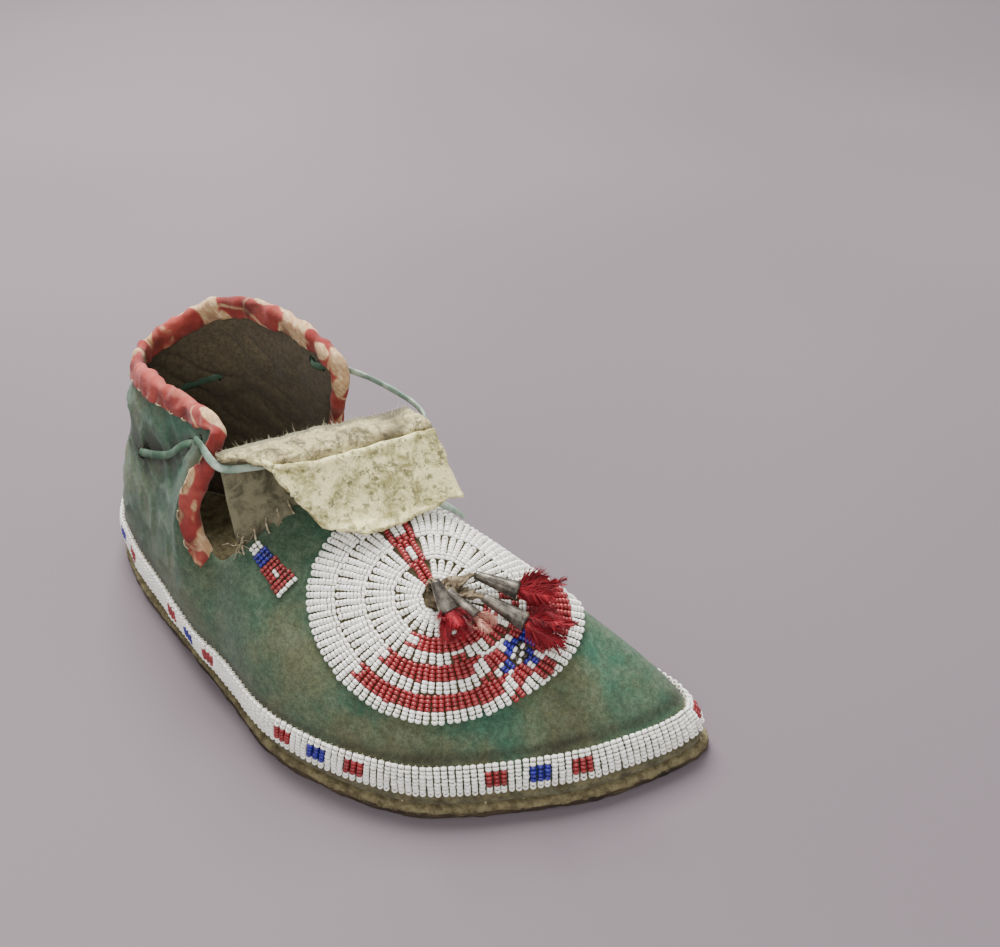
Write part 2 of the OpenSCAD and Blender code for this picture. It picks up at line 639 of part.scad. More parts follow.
sole();
sole_stitches();
upper();
heel_seam_stitches();
collar_binding_lateral();
collar_binding_medial();
binding_stitches();
tongue_base();
tongue_flap();
tongue_stitches();
tie_thong();
tie_knot();
tie_end_long();
tie_end_short();
border_lane();
rosette_ring_1();
rosette_ring_2();
rosette_ring_3();
rosette_ring_4();
rosette_stripe();
throat_tab_lateral();
throat_tab_medial();
tassel_knot();
tassel_lace_1();
tin_cone_1();
horsehair_tuft_1();
tassel_lace_2();
tin_cone_2();
horsehair_tuft_2();
tassel_lace_3();
tin_cone_3();
horsehair_tuft_3();
tassel_lace_4();
tin_cone_4();
horsehair_tuft_4();
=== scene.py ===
import json
import math

import bmesh
import bpy
import numpy as np
from mathutils import Euler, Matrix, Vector, noise
from mathutils.bvhtree import BVHTree
from mathutils.kdtree import KDTree


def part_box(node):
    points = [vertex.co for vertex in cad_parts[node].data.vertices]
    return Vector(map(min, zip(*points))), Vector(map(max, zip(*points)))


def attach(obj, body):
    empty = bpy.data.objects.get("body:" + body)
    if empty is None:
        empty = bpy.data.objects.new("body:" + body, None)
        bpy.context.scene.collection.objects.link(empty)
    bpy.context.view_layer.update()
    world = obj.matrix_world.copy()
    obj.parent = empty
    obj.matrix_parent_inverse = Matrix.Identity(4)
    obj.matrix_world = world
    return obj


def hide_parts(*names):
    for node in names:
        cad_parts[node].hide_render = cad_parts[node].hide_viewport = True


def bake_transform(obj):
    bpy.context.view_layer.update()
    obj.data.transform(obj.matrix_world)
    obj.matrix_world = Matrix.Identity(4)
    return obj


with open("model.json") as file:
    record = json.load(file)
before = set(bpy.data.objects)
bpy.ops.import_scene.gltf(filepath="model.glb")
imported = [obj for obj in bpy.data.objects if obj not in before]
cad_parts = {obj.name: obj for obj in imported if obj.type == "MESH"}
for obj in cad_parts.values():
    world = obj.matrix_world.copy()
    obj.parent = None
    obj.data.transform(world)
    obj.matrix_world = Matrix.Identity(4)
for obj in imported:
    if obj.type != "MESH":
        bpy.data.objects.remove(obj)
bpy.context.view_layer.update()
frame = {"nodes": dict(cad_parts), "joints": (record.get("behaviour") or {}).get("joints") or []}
NODES = frame["nodes"]
JOINTS = {j["name"]: j for j in frame["joints"]}
MM = 0.001
rng = np.random.default_rng(7)


# ---------------------------------------------------------------- camera
VIEW_AZIMUTH = math.radians(40)
VIEW_ELEVATION = math.radians(37)
CAMERA_LENS = 43.2
SENSOR_WIDTH = 36
CAMERA_PLACE = Vector((234.9, -196.1, 306.3)) * MM


def make_camera():
    flat = math.cos(VIEW_ELEVATION)
    forward = Vector(
        (-math.sin(VIEW_AZIMUTH) * flat, math.cos(VIEW_AZIMUTH) * flat, -math.sin(VIEW_ELEVATION))
    )
    data = bpy.data.cameras.new("camera")
    data.sensor_fit = "HORIZONTAL"
    data.sensor_width = SENSOR_WIDTH
    data.lens = CAMERA_LENS
    data.clip_start = 0.01
    data.clip_end = 20
    camera = bpy.data.objects.new("camera", data)
    camera.location = CAMERA_PLACE
    camera.rotation_euler = forward.to_track_quat("-Z", "Y").to_euler()
    bpy.context.scene.collection.objects.link(camera)
    bpy.context.scene.camera = camera


# ---------------------------------------------------------------- small tools
def unit(v):
    v = np.asarray(v, float)
    return v / np.maximum(np.linalg.norm(v, axis=-1, keepdims=True), 1e-12)


def curve_through(points, per):
    """Catmull-Rom curve through points, with per steps between two of them."""
    p = np.asarray(points, float)
    p = np.vstack([2 * p[0] - p[1], p, 2 * p[-1] - p[-2]])
    out = []
    for i in range(1, len(p) - 2):
        a, b, c, d = p[i - 1 : i + 3]
        for t in np.arange(per) / per:
            square, cube = 2 * a - 5 * b + 4 * c - d, 3 * b - a - 3 * c + d
            out.append(0.5 * (2 * b + (c - a) * t + square * t**2 + cube * t**3))
    out.append(p[-2])
    return np.array(out)


def lengths(points, closed=False):
    p = np.vstack([points, points[:1]]) if closed else np.asarray(points)
    return np.concatenate([[0], np.cumsum(np.linalg.norm(np.diff(p, axis=0), axis=1))])


def resampled(points, count, closed=False):
    p = np.vstack([points, points[:1]]) if closed else np.asarray(points)
    along = lengths(points, closed)
    at = np.linspace(0, along[-1], count, endpoint=not closed)
    return np.stack([np.interp(at, along, p[:, k]) for k in range(3)], axis=1)


def grid_quads(rows, cols, closed=False, start=0):
    r, c = np.meshgrid(np.arange(rows - 1), np.arange(cols if closed else cols - 1), indexing="ij")
    a, b = r * cols + c, r * cols + (c + 1) % cols
    return start + np.stack([a, b, b + cols, a + cols], axis=-1).reshape(-1, 4)


def sheet_quads(rows, cols):
    """Faces of a thick sheet whose front grid of points is followed by its back grid."""
    size = rows * cols
    quads = [grid_quads(rows, cols), grid_quads(rows, cols, start=size)[:, ::-1]]
    for row in (0, rows - 1):
        a = row * cols + np.arange(cols - 1)
        quads.append(np.stack([a, a + 1, a + 1 + size, a + size], axis=1))
    for col in (0, cols - 1):
        a = np.arange(rows - 1) * cols + col
        quads.append(np.stack([a, a + cols, a + cols + size, a + size], axis=1))
    return np.concatenate(quads)


def middle_of(node):
    return np.array(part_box(node)).mean(0)


def soft_step(value, low, high):
    t = np.clip((value - low) / (high - low), 0, 1)
    return t * t * (3 - 2 * t)


class Pile:
    """Gathers many shapes into one mesh, with a material and a tint for each."""

    def __init__(self):
        self.points, self.quads, self.tris = [], [], []
        self.quad_mats, self.tri_mats, self.tints = [], [], []
        self.count = 0

    def add(self, points, quads=(), tris=(), mat=0, tint=0.5):
        points = np.asarray(points, float)
        if len(quads):
            self.quads.append(np.asarray(quads, int) + self.count)
            self.quad_mats.append(np.full(len(quads), mat))
        if len(tris):
            self.tris.append(np.asarray(tris, int) + self.count)
            self.tri_mats.append(np.full(len(tris), mat))
        self.points.append(points)
        self.tints.append(np.broadcast_to(np.asarray(tint, float), (len(points),)))
        self.count += len(points)

    def build(self, name, materials, body, replaces=(), slot=None, smooth=True):
        points = np.concatenate(self.points)
        quads = np.concatenate(self.quads) if self.quads else np.zeros((0, 4), int)
        tris = np.concatenate(self.tris) if self.tris else np.zeros((0, 3), int)
        mesh = bpy.data.meshes.new(name)
        mesh.vertices.add(len(points))
        mesh.vertices.foreach_set("co", points.astype(np.float32).ravel())
        loops = np.concatenate([quads.ravel(), tris.ravel()])
        mesh.loops.add(len(loops))
        mesh.loops.foreach_set("vertex_index", loops.astype(np.int32))
        mesh.polygons.add(len(quads) + len(tris))
        starts = np.concatenate([np.arange(len(quads)) * 4, len(quads) * 4 + np.arange(len(tris)) * 3])
        mesh.polygons.foreach_set("loop_start", starts.astype(np.int32))
        mats = np.concatenate([*self.quad_mats, *self.tri_mats]).astype(np.int32)
        mesh.polygons.foreach_set("material_index", mats)
        mesh.update(calc_edges=True)
        tint = mesh.attributes.new("tint", "FLOAT", "POINT")
        tint.data.foreach_set("value", np.concatenate(self.tints).astype(np.float32))
        mesh.validate()
        mesh.shade_smooth() if smooth else mesh.shade_flat()
        for material in materials:
            mesh.materials.append(material)
        return place(bpy.data.objects.new(name, mesh), body, replaces)


def place(piece, body, replaces=()):
    bpy.context.scene.collection.objects.link(piece)
    if body:
        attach(piece, body)
    if replaces:
        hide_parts(*replaces)
    return piece


def tube(points, ups, half_w, half_t, sides=8, power=1.0, round_ends=True):
    """A swept strip with an oval section. half_w and half_t may differ from point to point."""
    p = np.asarray(points, float)
    n = len(p)
    tangent = unit(np.gradient(p, axis=0))
    side = unit(np.cross(tangent, np.broadcast_to(np.asarray(ups, float), p.shape)))
    out = np.cross(side, tangent)
    a = 2 * math.pi * (np.arange(sides) + 0.5) / sides
    ca = np.sign(np.cos(a)) * np.abs(np.cos(a)) ** power
    sa = np.sign(np.sin(a)) * np.abs(np.sin(a)) ** power
    w = np.broadcast_to(np.asarray(half_w, float), (n,))[:, None, None]
    t = np.broadcast_to(np.asarray(half_t, float), (n,))[:, None, None]
    ring = p[:, None] + side[:, None] * ca[None, :, None] * w + out[:, None] * sa[None, :, None] * t
    points = ring.reshape(-1, 3)
    quads = grid_quads(n, sides, closed=True)
    reach = float(min(np.min(w), np.min(t))) * (0.6 if round_ends else 0.0)
    caps = np.array([p[0] - tangent[0] * reach, p[-1] + tangent[-1] * reach])
    first = [(n * sides, (k + 1) % sides, k) for k in range(sides)]
    last = [(n * sides + 1, (n - 1) * sides + k, (n - 1) * sides + (k + 1) % sides) for k in range(sides)]
    return np.vstack([points, caps]), quads, first + last


def ridged(x, y, z, octaves=3):
    """Fractal noise between about -1 and 1."""
    total, size, scale = 0.0, 1.0, 1.0
    for _ in range(octaves):
        total += size * noise.noise(Vector((x * scale, y * scale, z * scale)))
        size *= 0.5
        scale *= 2.03
    return total


def welded(node):
    """The CAD node's mesh as a bmesh with its split corners joined again."""
    bm = bmesh.new()
    bm.from_mesh(NODES[node].data)
    bmesh.ops.remove_doubles(bm, verts=bm.verts, dist=2e-6)
    return bm


def tree_of_node(node):
    return BVHTree.FromBMesh(welded(node))


def smooth_mesh(node, name, levels):
    """A subdivided copy of a CAD node's mesh, whose triangles are first joined into quads."""
    bm = welded(node)
    bmesh.ops.join_triangles(
        bm,
        faces=bm.faces,
        cmp_seam=False,
        cmp_sharp=False,
        cmp_uvs=False,
        cmp_vcols=False,
        cmp_materials=False,
        angle_face_threshold=math.radians(40),
        angle_shape_threshold=math.radians(40),
    )
    mesh = bpy.data.meshes.new(name)
    bm.to_mesh(mesh)
    bm.free()
    holder = bpy.data.objects.new(name + "_holder", mesh)
    bpy.context.scene.collection.objects.link(holder)
    modifier = holder.modifiers.new("smooth", "SUBSURF")
    modifier.levels = modifier.render_levels = levels
    shown = holder.evaluated_get(bpy.context.evaluated_depsgraph_get())
    made = bpy.data.meshes.new_from_object(shown)
    made.name = name
    bpy.data.objects.remove(holder)
    made.materials.clear()
    made.shade_smooth()
    return made


def coords(mesh):
    co = np.zeros(len(mesh.vertices) * 3, np.float32)
    mesh.vertices.foreach_get("co", co)
    return co.reshape(-1, 3).astype(float)


def normals(mesh):
    no = np.zeros(len(mesh.vertices) * 3, np.float32)
    mesh.vertices.foreach_get("normal", no)
    return no.reshape(-1, 3).astype(float)


def face_outward(mesh):
    bm = bmesh.new()
    bm.from_mesh(mesh)
    bmesh.ops.recalc_face_normals(bm, faces=bm.faces)
    bm.to_mesh(mesh)
    bm.free()


def set_coords(mesh, co):
    mesh.vertices.foreach_set("co", co.astype(np.float32).ravel())
    mesh.update()


def set_tint(mesh, values, name="tint"):
    layer = mesh.attributes.get(name) or mesh.attributes.new(name, "FLOAT", "POINT")
    layer.data.foreach_set("value", np.asarray(values, np.float32))


# ---------------------------------------------------------------- materials
def colour(r, g, b):
    """Linear colour of a colour given as 0 to 255 screen values."""
    return tuple(((x / 255 + 0.055) / 1.055) ** 2.4 if x > 10 else x / 3294.6 for x in (r, g, b)) + (1,)


class Look:
    """A material made of nodes, with short calls for the nodes that recur."""

    def __init__(self, name, roughness=0.8, specular=0.3, sheen=0.0, coat=0.0, metallic=0.0):
        self.material = bpy.data.materials.new(name)
        self.material.use_nodes = True
        self.tree = self.material.node_tree
        self.bsdf = self.tree.nodes["Principled BSDF"]
        settings = {
            "Roughness": roughness, "Specular IOR Level": specular, "Sheen Weight": sheen,
            "Coat Weight": coat, "Coat Roughness": 0.2, "Metallic": metallic,
        }
        for key, value in settings.items():
            self.feed(self.bsdf.inputs[key], value)
        self.place = self.node("ShaderNodeTexCoord").outputs["Object"]
        self.height = None

    def feed(self, socket, value):
        """Gives a socket its value, or links it where the value is another node's socket."""
        if isinstance(value, bpy.types.NodeSocket):
            self.tree.links.new(value, socket)
        else:
            socket.default_value = value

    def node(self, kind, sockets=None, **values):
        made = self.tree.nodes.new(kind)
        for key, value in values.items():
            setattr(made, key, value)
        for key, value in (sockets or {}).items():
            self.feed(made.inputs[key], value)
        return made

    def noise(self, scale, detail=4, rough=0.55, stretch=None, distort=0.0):
        source = self.place
        if stretch:
            source = self.node("ShaderNodeMapping", {"Scale": stretch, "Vector": source}).outputs["Vector"]
        sockets = {"Scale": scale, "Detail": detail, "Roughness": rough, "Distortion": distort}
        return self.node("ShaderNodeTexNoise", {**sockets, "Vector": source}).outputs["Fac"]

    def bands(self, direction, scale, distort=0.0):
        sockets = {"Scale": scale, "Distortion": distort, "Vector": self.place}
        made = self.node("ShaderNodeTexWave", sockets, wave_type="BANDS", bands_direction=direction)
        return made.outputs["Fac"]

    def ramp(self, value, low, high, out_low=0.0, out_high=1.0):
        sockets = {"Value": value, "From Min": low, "From Max": high, "To Min": out_low, "To Max": out_high}
        return self.node("ShaderNodeMapRange", sockets, interpolation_type="SMOOTHSTEP").outputs["Result"]

    def math(self, operation, a, b):
        return self.node("ShaderNodeMath", {0: a, 1: b}, operation=operation, use_clamp=False).outputs[0]

    def mix(self, factor, a, b, blend="MIX"):
        made = self.node("ShaderNodeMix", data_type="RGBA", blend_type=blend)
        sockets = [s for s in made.inputs if s.enabled]
        for value, socket in zip((factor, a, b), sockets):
            self.feed(socket, value)
        return [s for s in made.outputs if s.enabled][0]

    def mottled(self, value, low, high, dark, light):
        """From one colour to another where value goes from low to high."""
        return self.mix(self.ramp(value, low, high), dark, light)

    def over(self, base, value, low, high, share, shade):
        """Lays a shade over base where value rises from low to high, as strongly as share."""
        return self.mix(self.ramp(value, low, high, 0.0, share), base, shade)

    def attribute(self, name):
        return self.node("ShaderNodeAttribute", attribute_name=name).outputs["Fac"]

    def axis(self, index):
        return self.node("ShaderNodeSeparateXYZ", {0: self.place}).outputs[index]

    def bump(self, value, strength, distance):
        sockets = {"Height": value, "Strength": strength, "Distance": distance}
        if self.height is not None:
            sockets["Normal"] = self.height
        self.height = self.node("ShaderNodeBump", sockets).outputs["Normal"]

    def done(self, base, roughness=None):
        for key, value in (("Base Color", base), ("Roughness", roughness), ("Normal", self.height)):
            if value is not None:
                self.feed(self.bsdf.inputs[key], value)
        return self.material


def green_suede():
    look = Look("green_suede", roughness=0.92, specular=0.2, sheen=0.1)
    broad = look.ramp(look.noise(16, 3, distort=0.4), 0.38, 0.66)
    base = look.mix(broad, colour(72, 96, 72), colour(66, 112, 88))
    patches = look.noise(24, 5, 0.65, stretch=(1, 1.4, 1))
    base = look.over(base, patches, 0.46, 0.66, 1.0, colour(104, 108, 78))
    low = look.ramp(look.axis(2), 0.017, 0.034, 1.0, 0.0)
    low = look.math("MULTIPLY", low, look.ramp(look.noise(45, 5), 0.28, 0.58, 0.05, 0.6))
    base = look.mix(low, base, colour(100, 98, 72))
    margin = look.ramp(look.axis(2), 0.009, 0.0125, 1.0, 0.0)
    tan = look.mottled(look.noise(180, 6, 0.7), 0.35, 0.65, colour(92, 82, 56), colour(136, 126, 92))
    base = look.mix(margin, base, tan)
    base = look.over(base, look.noise(130, 6, 0.7), 0.42, 0.7, 0.55, colour(118, 128, 102))  # blotch
    base = look.over(base, look.attribute("ground"), 0.2, 0.8, 0.9, colour(122, 108, 78))
    # Darkens the suede by dirt_and_shade: real grime from grain noise, painted shade in the wrinkle hollows and
    # beside the thong, and a darker band at 20 mm height
    base = look.over(base, look.attribute("dirt_and_shade"), 0.0, 1.0, 0.85, colour(56, 54, 42))
    base = look.over(base, look.attribute("crest"), 0.45, 1.0, 0.4, colour(122, 142, 122))
    base = look.over(base, look.attribute("inside"), 0.4, 0.6, 1.0, colour(112, 100, 78))
    grain = look.ramp(look.noise(620, 5, 0.75), 0.34, 0.66, 0.46, 0.8)
    base = look.mix(1.0, base, grain, blend="MULTIPLY")
    speck = look.ramp(look.noise(2100, 3, 0.8), 0.3, 0.7, 0.78, 1.22)
    base = look.mix(1.0, base, speck, blend="MULTIPLY")
    look.bump(look.noise(260, 5, 0.65), 0.4, 0.0008)
    look.bump(look.noise(2400, 3, 0.8), 0.6, 0.0003)
    return look.done(base)


def tongue_suede():
    look = Look("tongue_suede", roughness=0.95, specular=0.15, sheen=0.15)
    part = look.ramp(look.attribute("tint"), 0.22, 0.4)
    panel = look.ramp(look.attribute("tint"), 0.55, 0.8)
    worn = look.ramp(look.noise(150, 6, 0.75, distort=0.5), 0.36, 0.58)
    band = look.mix(worn, colour(88, 78, 56), colour(196, 182, 132))
    cream = look.mix(worn, colour(156, 148, 94), colour(252, 240, 176))
    cream = look.mix(panel, band, cream)
    cream = look.over(cream, look.noise(330, 6, 0.8), 0.52, 0.6, 0.85, colour(108, 102, 66))  # spots
    cream = look.over(cream, look.noise(520, 5, 0.8), 0.55, 0.68, 0.75, colour(255, 248, 196))  # flecks
    olive = look.mix(worn, colour(84, 80, 62), colour(132, 126, 98))
    base = look.mix(part, olive, cream)
    # Darkens the tongue by dirt_and_shade: painted shade along the flap's crease, and darker towards the throat
    # seam and near the fold
    base = look.over(base, look.attribute("dirt_and_shade"), 0.0, 1.0, 0.85, colour(78, 70, 52))
    look.bump(look.noise(180, 6, 0.7), 0.6, 0.0012)
    look.bump(look.noise(900, 5, 0.85), 0.8, 0.0005)
    return look.done(base)


def thong_hide():
    look = Look("thong_hide", roughness=0.85, specular=0.25)
    part = look.ramp(look.attribute("tint"), 0.3, 0.7)
    pale = look.mottled(look.noise(200, 4), 0.4, 0.65, colour(116, 136, 120), colour(166, 180, 162))
    green = look.mottled(look.noise(160, 4), 0.4, 0.65, colour(66, 90, 72), colour(94, 114, 94))
    base = look.mix(part, green, pale)
    look.bump(look.noise(900, 4, 0.7, stretch=(1, 1, 2)), 0.5, 0.0003)
    return look.done(base)


def lace_hide():
    look = Look("lace_hide", roughness=0.85, specular=0.25)
    base = look.mottled(look.noise(300, 5), 0.38, 0.66, colour(74, 62, 46), colour(128, 114, 90))
    look.bump(look.noise(1200, 4, 0.7), 0.6, 0.0003)
    return look.done(base)


def rawhide():
    look = Look("rawhide", roughness=0.8, specular=0.3)
    base = look.mottled(look.noise(60, 6, 0.7), 0.36, 0.66, colour(42, 34, 27), colour(80, 66, 48))
    scuffs = look.noise(340, 5, 0.8, stretch=(0.4, 0.4, 2))
    base = look.over(base, scuffs, 0.52, 0.72, 0.5, colour(126, 110, 82))
    tan = look.mottled(look.noise(240, 6, 0.75), 0.36, 0.64, colour(84, 74, 50), colour(132, 122, 88))
    ragged = look.math("ADD", look.axis(2), look.ramp(look.noise(300, 5, 0.7), 0.3, 0.7, -0.0007, 0.0007))
    base = look.mix(look.ramp(ragged, 0.0021, 0.0026), base, tan)
    look.bump(look.noise(220, 6, 0.75, stretch=(1, 1, 3)), 0.8, 0.0008)
    look.bump(look.noise(1500, 4, 0.7), 0.5, 0.0003)
    return look.done(base)


def bead_glass(name, base_colour, deep_colour, roughness=0.3):
    look = Look(name, roughness=roughness, specular=0.5, coat=0.15)
    base = look.mix(look.attribute("tint"), deep_colour, base_colour)
    base = look.over(base, look.noise(900, 3, 0.7), 0.5, 0.8, 0.25, colour(150, 140, 118))  # dust
    look.bump(look.noise(3000, 2), 0.12, 0.0001)
    return look.done(base)


def print_cloth():
    """Brick-red cloth with cream leaves and thin stems, faded with wear."""
    look = Look("print_cloth", roughness=0.88, specular=0.2, sheen=0.1)
    red = look.mottled(look.noise(80, 4), 0.35, 0.65, colour(126, 44, 40), colour(164, 72, 62))
    bend = look.node("ShaderNodeTexNoise", {"Scale": 90, "Vector": look.place})
    shift = look.mix(0.006, look.place, bend.outputs["Color"])
    turned = {"Rotation": (0.5, 0.3, 0.6), "Scale": (1.0, 2.1, 1.0)}
    squeeze = look.node("ShaderNodeMapping", {**turned, "Vector": shift})
    cells = look.node("ShaderNodeTexVoronoi", {"Scale": 58, "Vector": squeeze.outputs["Vector"]}, feature="F1")
    leaf = look.ramp(cells.outputs["Distance"], 0.5, 0.56, 1.0, 0.0)
    chosen = look.node("ShaderNodeSeparateColor", {0: cells.outputs["Color"]})
    leaf = look.math("MULTIPLY", leaf, look.ramp(chosen.outputs[0], 0.4, 0.44))
    leaf = look.math("MULTIPLY", leaf, look.ramp(look.bands("DIAGONAL", 240, 3), 0.1, 0.45, 0.8, 1.0))
    stems = look.node("ShaderNodeTexVoronoi", {"Scale": 42, "Vector": shift}, feature="DISTANCE_TO_EDGE")
    stem = look.ramp(stems.outputs["Distance"], 0.012, 0.036, 0.8, 0.0)
    stem = look.math("MULTIPLY", stem, look.ramp(look.noise(60, 2), 0.4, 0.5))
    cream = look.mottled(look.noise(500, 3), 0.4, 0.7, colour(186, 150, 108), colour(216, 190, 146))
    base = look.mix(look.math("MAXIMUM", leaf, stem), red, cream)
    base = look.over(base, look.noise(150, 5, 0.7), 0.5, 0.75, 0.4, colour(170, 112, 92))  # faded
    # Darkens the binding cloth by dirt_and_shade: painted shade in its gathers and at its stitches
    base = look.over(base, look.attribute("dirt_and_shade"), 0.0, 1.0, 0.8, colour(84, 44, 38))
    for direction in ("X", "Y", "Z"):
        look.bump(look.bands(direction, 800), 0.2, 0.00012)
    look.bump(look.noise(350, 4, 0.6), 0.4, 0.0005)
    return look.done(base)


def old_tin():
    look = Look("old_tin", roughness=0.42, specular=0.5, metallic=0.75)
    base = look.mottled(look.noise(220, 5, 0.7), 0.4, 0.66, colour(70, 66, 60), colour(132, 124, 112))
    base = look.over(base, look.noise(420, 5, 0.75), 0.55, 0.75, 0.8, colour(70, 52, 38))  # rust
    look.bump(look.noise(700, 4, 0.6), 0.3, 0.0002)
    rough = look.ramp(look.noise(300, 4), 0.35, 0.7, 0.32, 0.62)
    return look.done(base, rough)


def red_down():
    look = Look("red_down", roughness=0.75, specular=0.2, sheen=0.08)
    base = look.mix(look.attribute("tint"), colour(66, 4, 12), colour(150, 20, 34))
    return look.done(base)


def pale_down():
    look = Look("pale_down", roughness=0.8, specular=0.25, sheen=0.2)
    base = look.mix(look.attribute("tint"), colour(150, 70, 60), colour(232, 186, 160))
    return look.done(base)


def thread():
    look = Look("thread", roughness=0.85, specular=0.25)
    base = look.mottled(look.noise(700, 4), 0.35, 0.65, colour(118, 104, 80), colour(176, 164, 134))
    look.bump(look.noise(4000, 2), 0.4, 0.0001)
    return look.done(base)


def cloth_fibre():
    look = Look("hide_fibre", roughness=0.9, specular=0.2)
    base = look.mix(look.attribute("tint"), colour(140, 130, 100), colour(222, 214, 184))
    return look.done(base)


# ---------------------------------------------------------------- the loose ends of the thong
THONG_HALF_W = 1.6 * MM
THONG_HALF_T = 0.85 * MM
LONG_END = [
    (-5, 5.2, 79), (-2.5, 7.5, 78), (0, 9.5, 76.5), (2.5, 11.5, 74.5), (5, 13, 72.5),
    (7.5, 14.5, 70.8), (10, 16, 69.6), (12.5, 17.7, 68.6), (15, 19.5, 67.7), (17.5, 21.5, 66.6),
    (20, 23.5, 65.3), (22.3, 25.5, 63.8), (24.6, 27.5, 62), (26.8, 29.5, 59.8), (28.8, 31.3, 57.2),
]
SHORT_END = [
    (-5, 5.2, 79), (-6.6, 3.5, 78.2), (-7.7, 1.3, 77.2), (-8.1, -1, 76.1), (-7.9, -3.4, 75),
    (-7, -5.6, 74), (-5.4, -7.3, 73), (-3.5, -8.3, 72), (-1.2, -8.6, 71), (1, -8, 70.2),
    (2.9, -6.7, 69.5), (4.3, -4.9, 69), (5.1, -2.7, 68.7), (5.4, -0.5, 68.6), (5.1, 1.8, 68.8),
]


def loose_end(name, route, node, material):
    line = curve_through(np.array(route) * MM, 6)
    n = len(line)
    along = np.linspace(0, 1, n)
    wobble = np.array([noise.noise(Vector((a * 9, 3.1, len(route)))) for a in along])
    twist = 0.5 * np.array([noise.noise(Vector((a * 4, 7.7, 1.0))) for a in along])
    ups = np.array([0.15, -0.1, 1.0]) + np.outer(twist, [1.0, 0.6, 0.0])
    taper = np.clip((1 - along) / 0.16, 0.22, 1) ** 0.7
    pile = Pile()
    half_w = THONG_HALF_W * (1 + 0.12 * wobble) * taper
    shape = tube(line, unit(ups), half_w, THONG_HALF_T * (1 - 0.1 * wobble), 12, 0.8)
    pile.add(*shape, tint=0.85)
    piece = pile.build(name, [material], "shoe", [node], "thong_hide")


# ---------------------------------------------------------------- upper
HIDE_T = 1.8 * MM


def outward_of(points):
    """Roughly outward directions, from the middle of the foot space."""
    level = np.full(len(points), MM)
    middle = np.stack([np.clip(points[:, 0], -95 * MM, 90 * MM), 12 * level, 22 * level], axis=1)
    return unit(points - middle)


def wrinkle_height(p, from_thong):
    """How far the hide stands out at p, in metres, and how sharp a crest it is there."""
    x, y, z = p / MM
    ankle = np.clip((-20 - x) / 40, 0, 1) * np.clip((z - 18) / 22, 0, 1)
    vamp = 1 - np.clip((-x) / 20, 0, 1)
    broad = ridged(x / 34, y / 34, z / 34) * (1.1 - 0.75 * vamp)
    fold = 1 - abs(noise.noise(Vector((x / 16 + z / 22, y / 18, z / 11 + 4.0)))) * 2.6
    fine = ridged(x / 6, y / 6, z / 7, 2)
    drawn = 1 - math.exp(-((from_thong / (7 * MM)) ** 2))
    height = broad + ankle * (1.1 * max(fold, 0) ** 2 - 0.3) + 0.14 * fine * (0.4 + ankle)
    height += 1.5 * ankle * (drawn - 0.6)
    return height * MM, max(fold, 0) ** 2 * ankle + 0.5 * max(fine, 0)


def make_upper(material):
    mesh = smooth_mesh("upper", "upper_hide", 3)
    co = coords(mesh)
    no = normals(mesh)
    out = outward_of(co)
    sign = np.where((no * out).sum(1) > 0, 1.0, -1.0)
    thong = tree_of_node("tie_thong")
    bindings = [tree_of_node("collar_binding_lateral"), tree_of_node("collar_binding_medial")]
    centre = middle_of("tassel_knot")
    low = np.clip((co[:, 2] - 3 * MM) / (6 * MM), 0, 1)
    high = np.zeros(len(co))
    crest = np.zeros(len(co))
    dirt_and_shade = np.zeros(len(co))
    for i, p in enumerate(co):
        from_thong = thong.find_nearest(Vector(p), 0.03)[3] or 0.03
        from_binding = min(tree.find_nearest(Vector(p), 0.03)[3] or 0.03 for tree in bindings)
        height, sharp = wrinkle_height(p, from_thong)
        high[i] = height * low[i] * soft_step(from_binding, 0.5 * MM, 9 * MM)
        crest[i] = sharp
        grain = ridged(p[0] * 60, p[1] * 60, p[2] * 60, 3)
        # seam is a darker band at 20 mm height; hollow_shade is painted shade in the hollows of the ankle
        # wrinkles, thong_shade is painted shade on the hide beside the thong, and grain adds real grime
        seam = math.exp(-(((p[2] / MM - 20) / 1.8) ** 2))
        hollow_shade = np.clip(-height / MM * 0.5, 0, 0.6) if p[0] < 0 else 0.0
        thong_shade = 0.5 * math.exp(-((from_thong / (2.5 * MM)) ** 2))
        dirt_and_shade[i] = seam * 0.6 + np.clip(0.35 * grain, 0, 0.35) + hollow_shade + thong_shade
    direction = no * sign[:, None]
    set_coords(mesh, co + direction * high[:, None])
    set_tint(mesh, crest, "crest")
    set_tint(mesh, dirt_and_shade, "dirt_and_shade")
    set_tint(mesh, 1 - soft_step(np.linalg.norm(co - centre, axis=1), 36 * MM, 38.5 * MM), "ground")
    set_tint(mesh, (sign < 0).astype(float), "inside")
    mesh.materials.append(material)
    return place(bpy.data.objects.new("upper_hide", mesh), "shoe", ["upper"])


class Skin:
    """The upper's outer face, for setting things on it."""

    def __init__(self, piece):
        bm = bmesh.new()
        bm.from_mesh(piece.data)
        self.tree = BVHTree.FromBMesh(bm)
        bm.free()

    def near(self, point):
        spot, normal, _, _ = self.tree.find_nearest(Vector(point))
        n = np.array(normal)
        if n @ outward_of(np.array([spot]))[0] < 0:
            n = -n
        return np.array(spot), n

    def outer(self, point, normal):
        """The outer face on the line through point along normal, looking inward from 6 mm out."""
        start = np.asarray(point) + unit(normal) * 6 * MM
        hit, n, _, _ = self.tree.ray_cast(Vector(start), Vector(-unit(normal)), 12 * MM)
        if hit is None:
            return self.near(point)
        return np.array(hit), np.array(n)


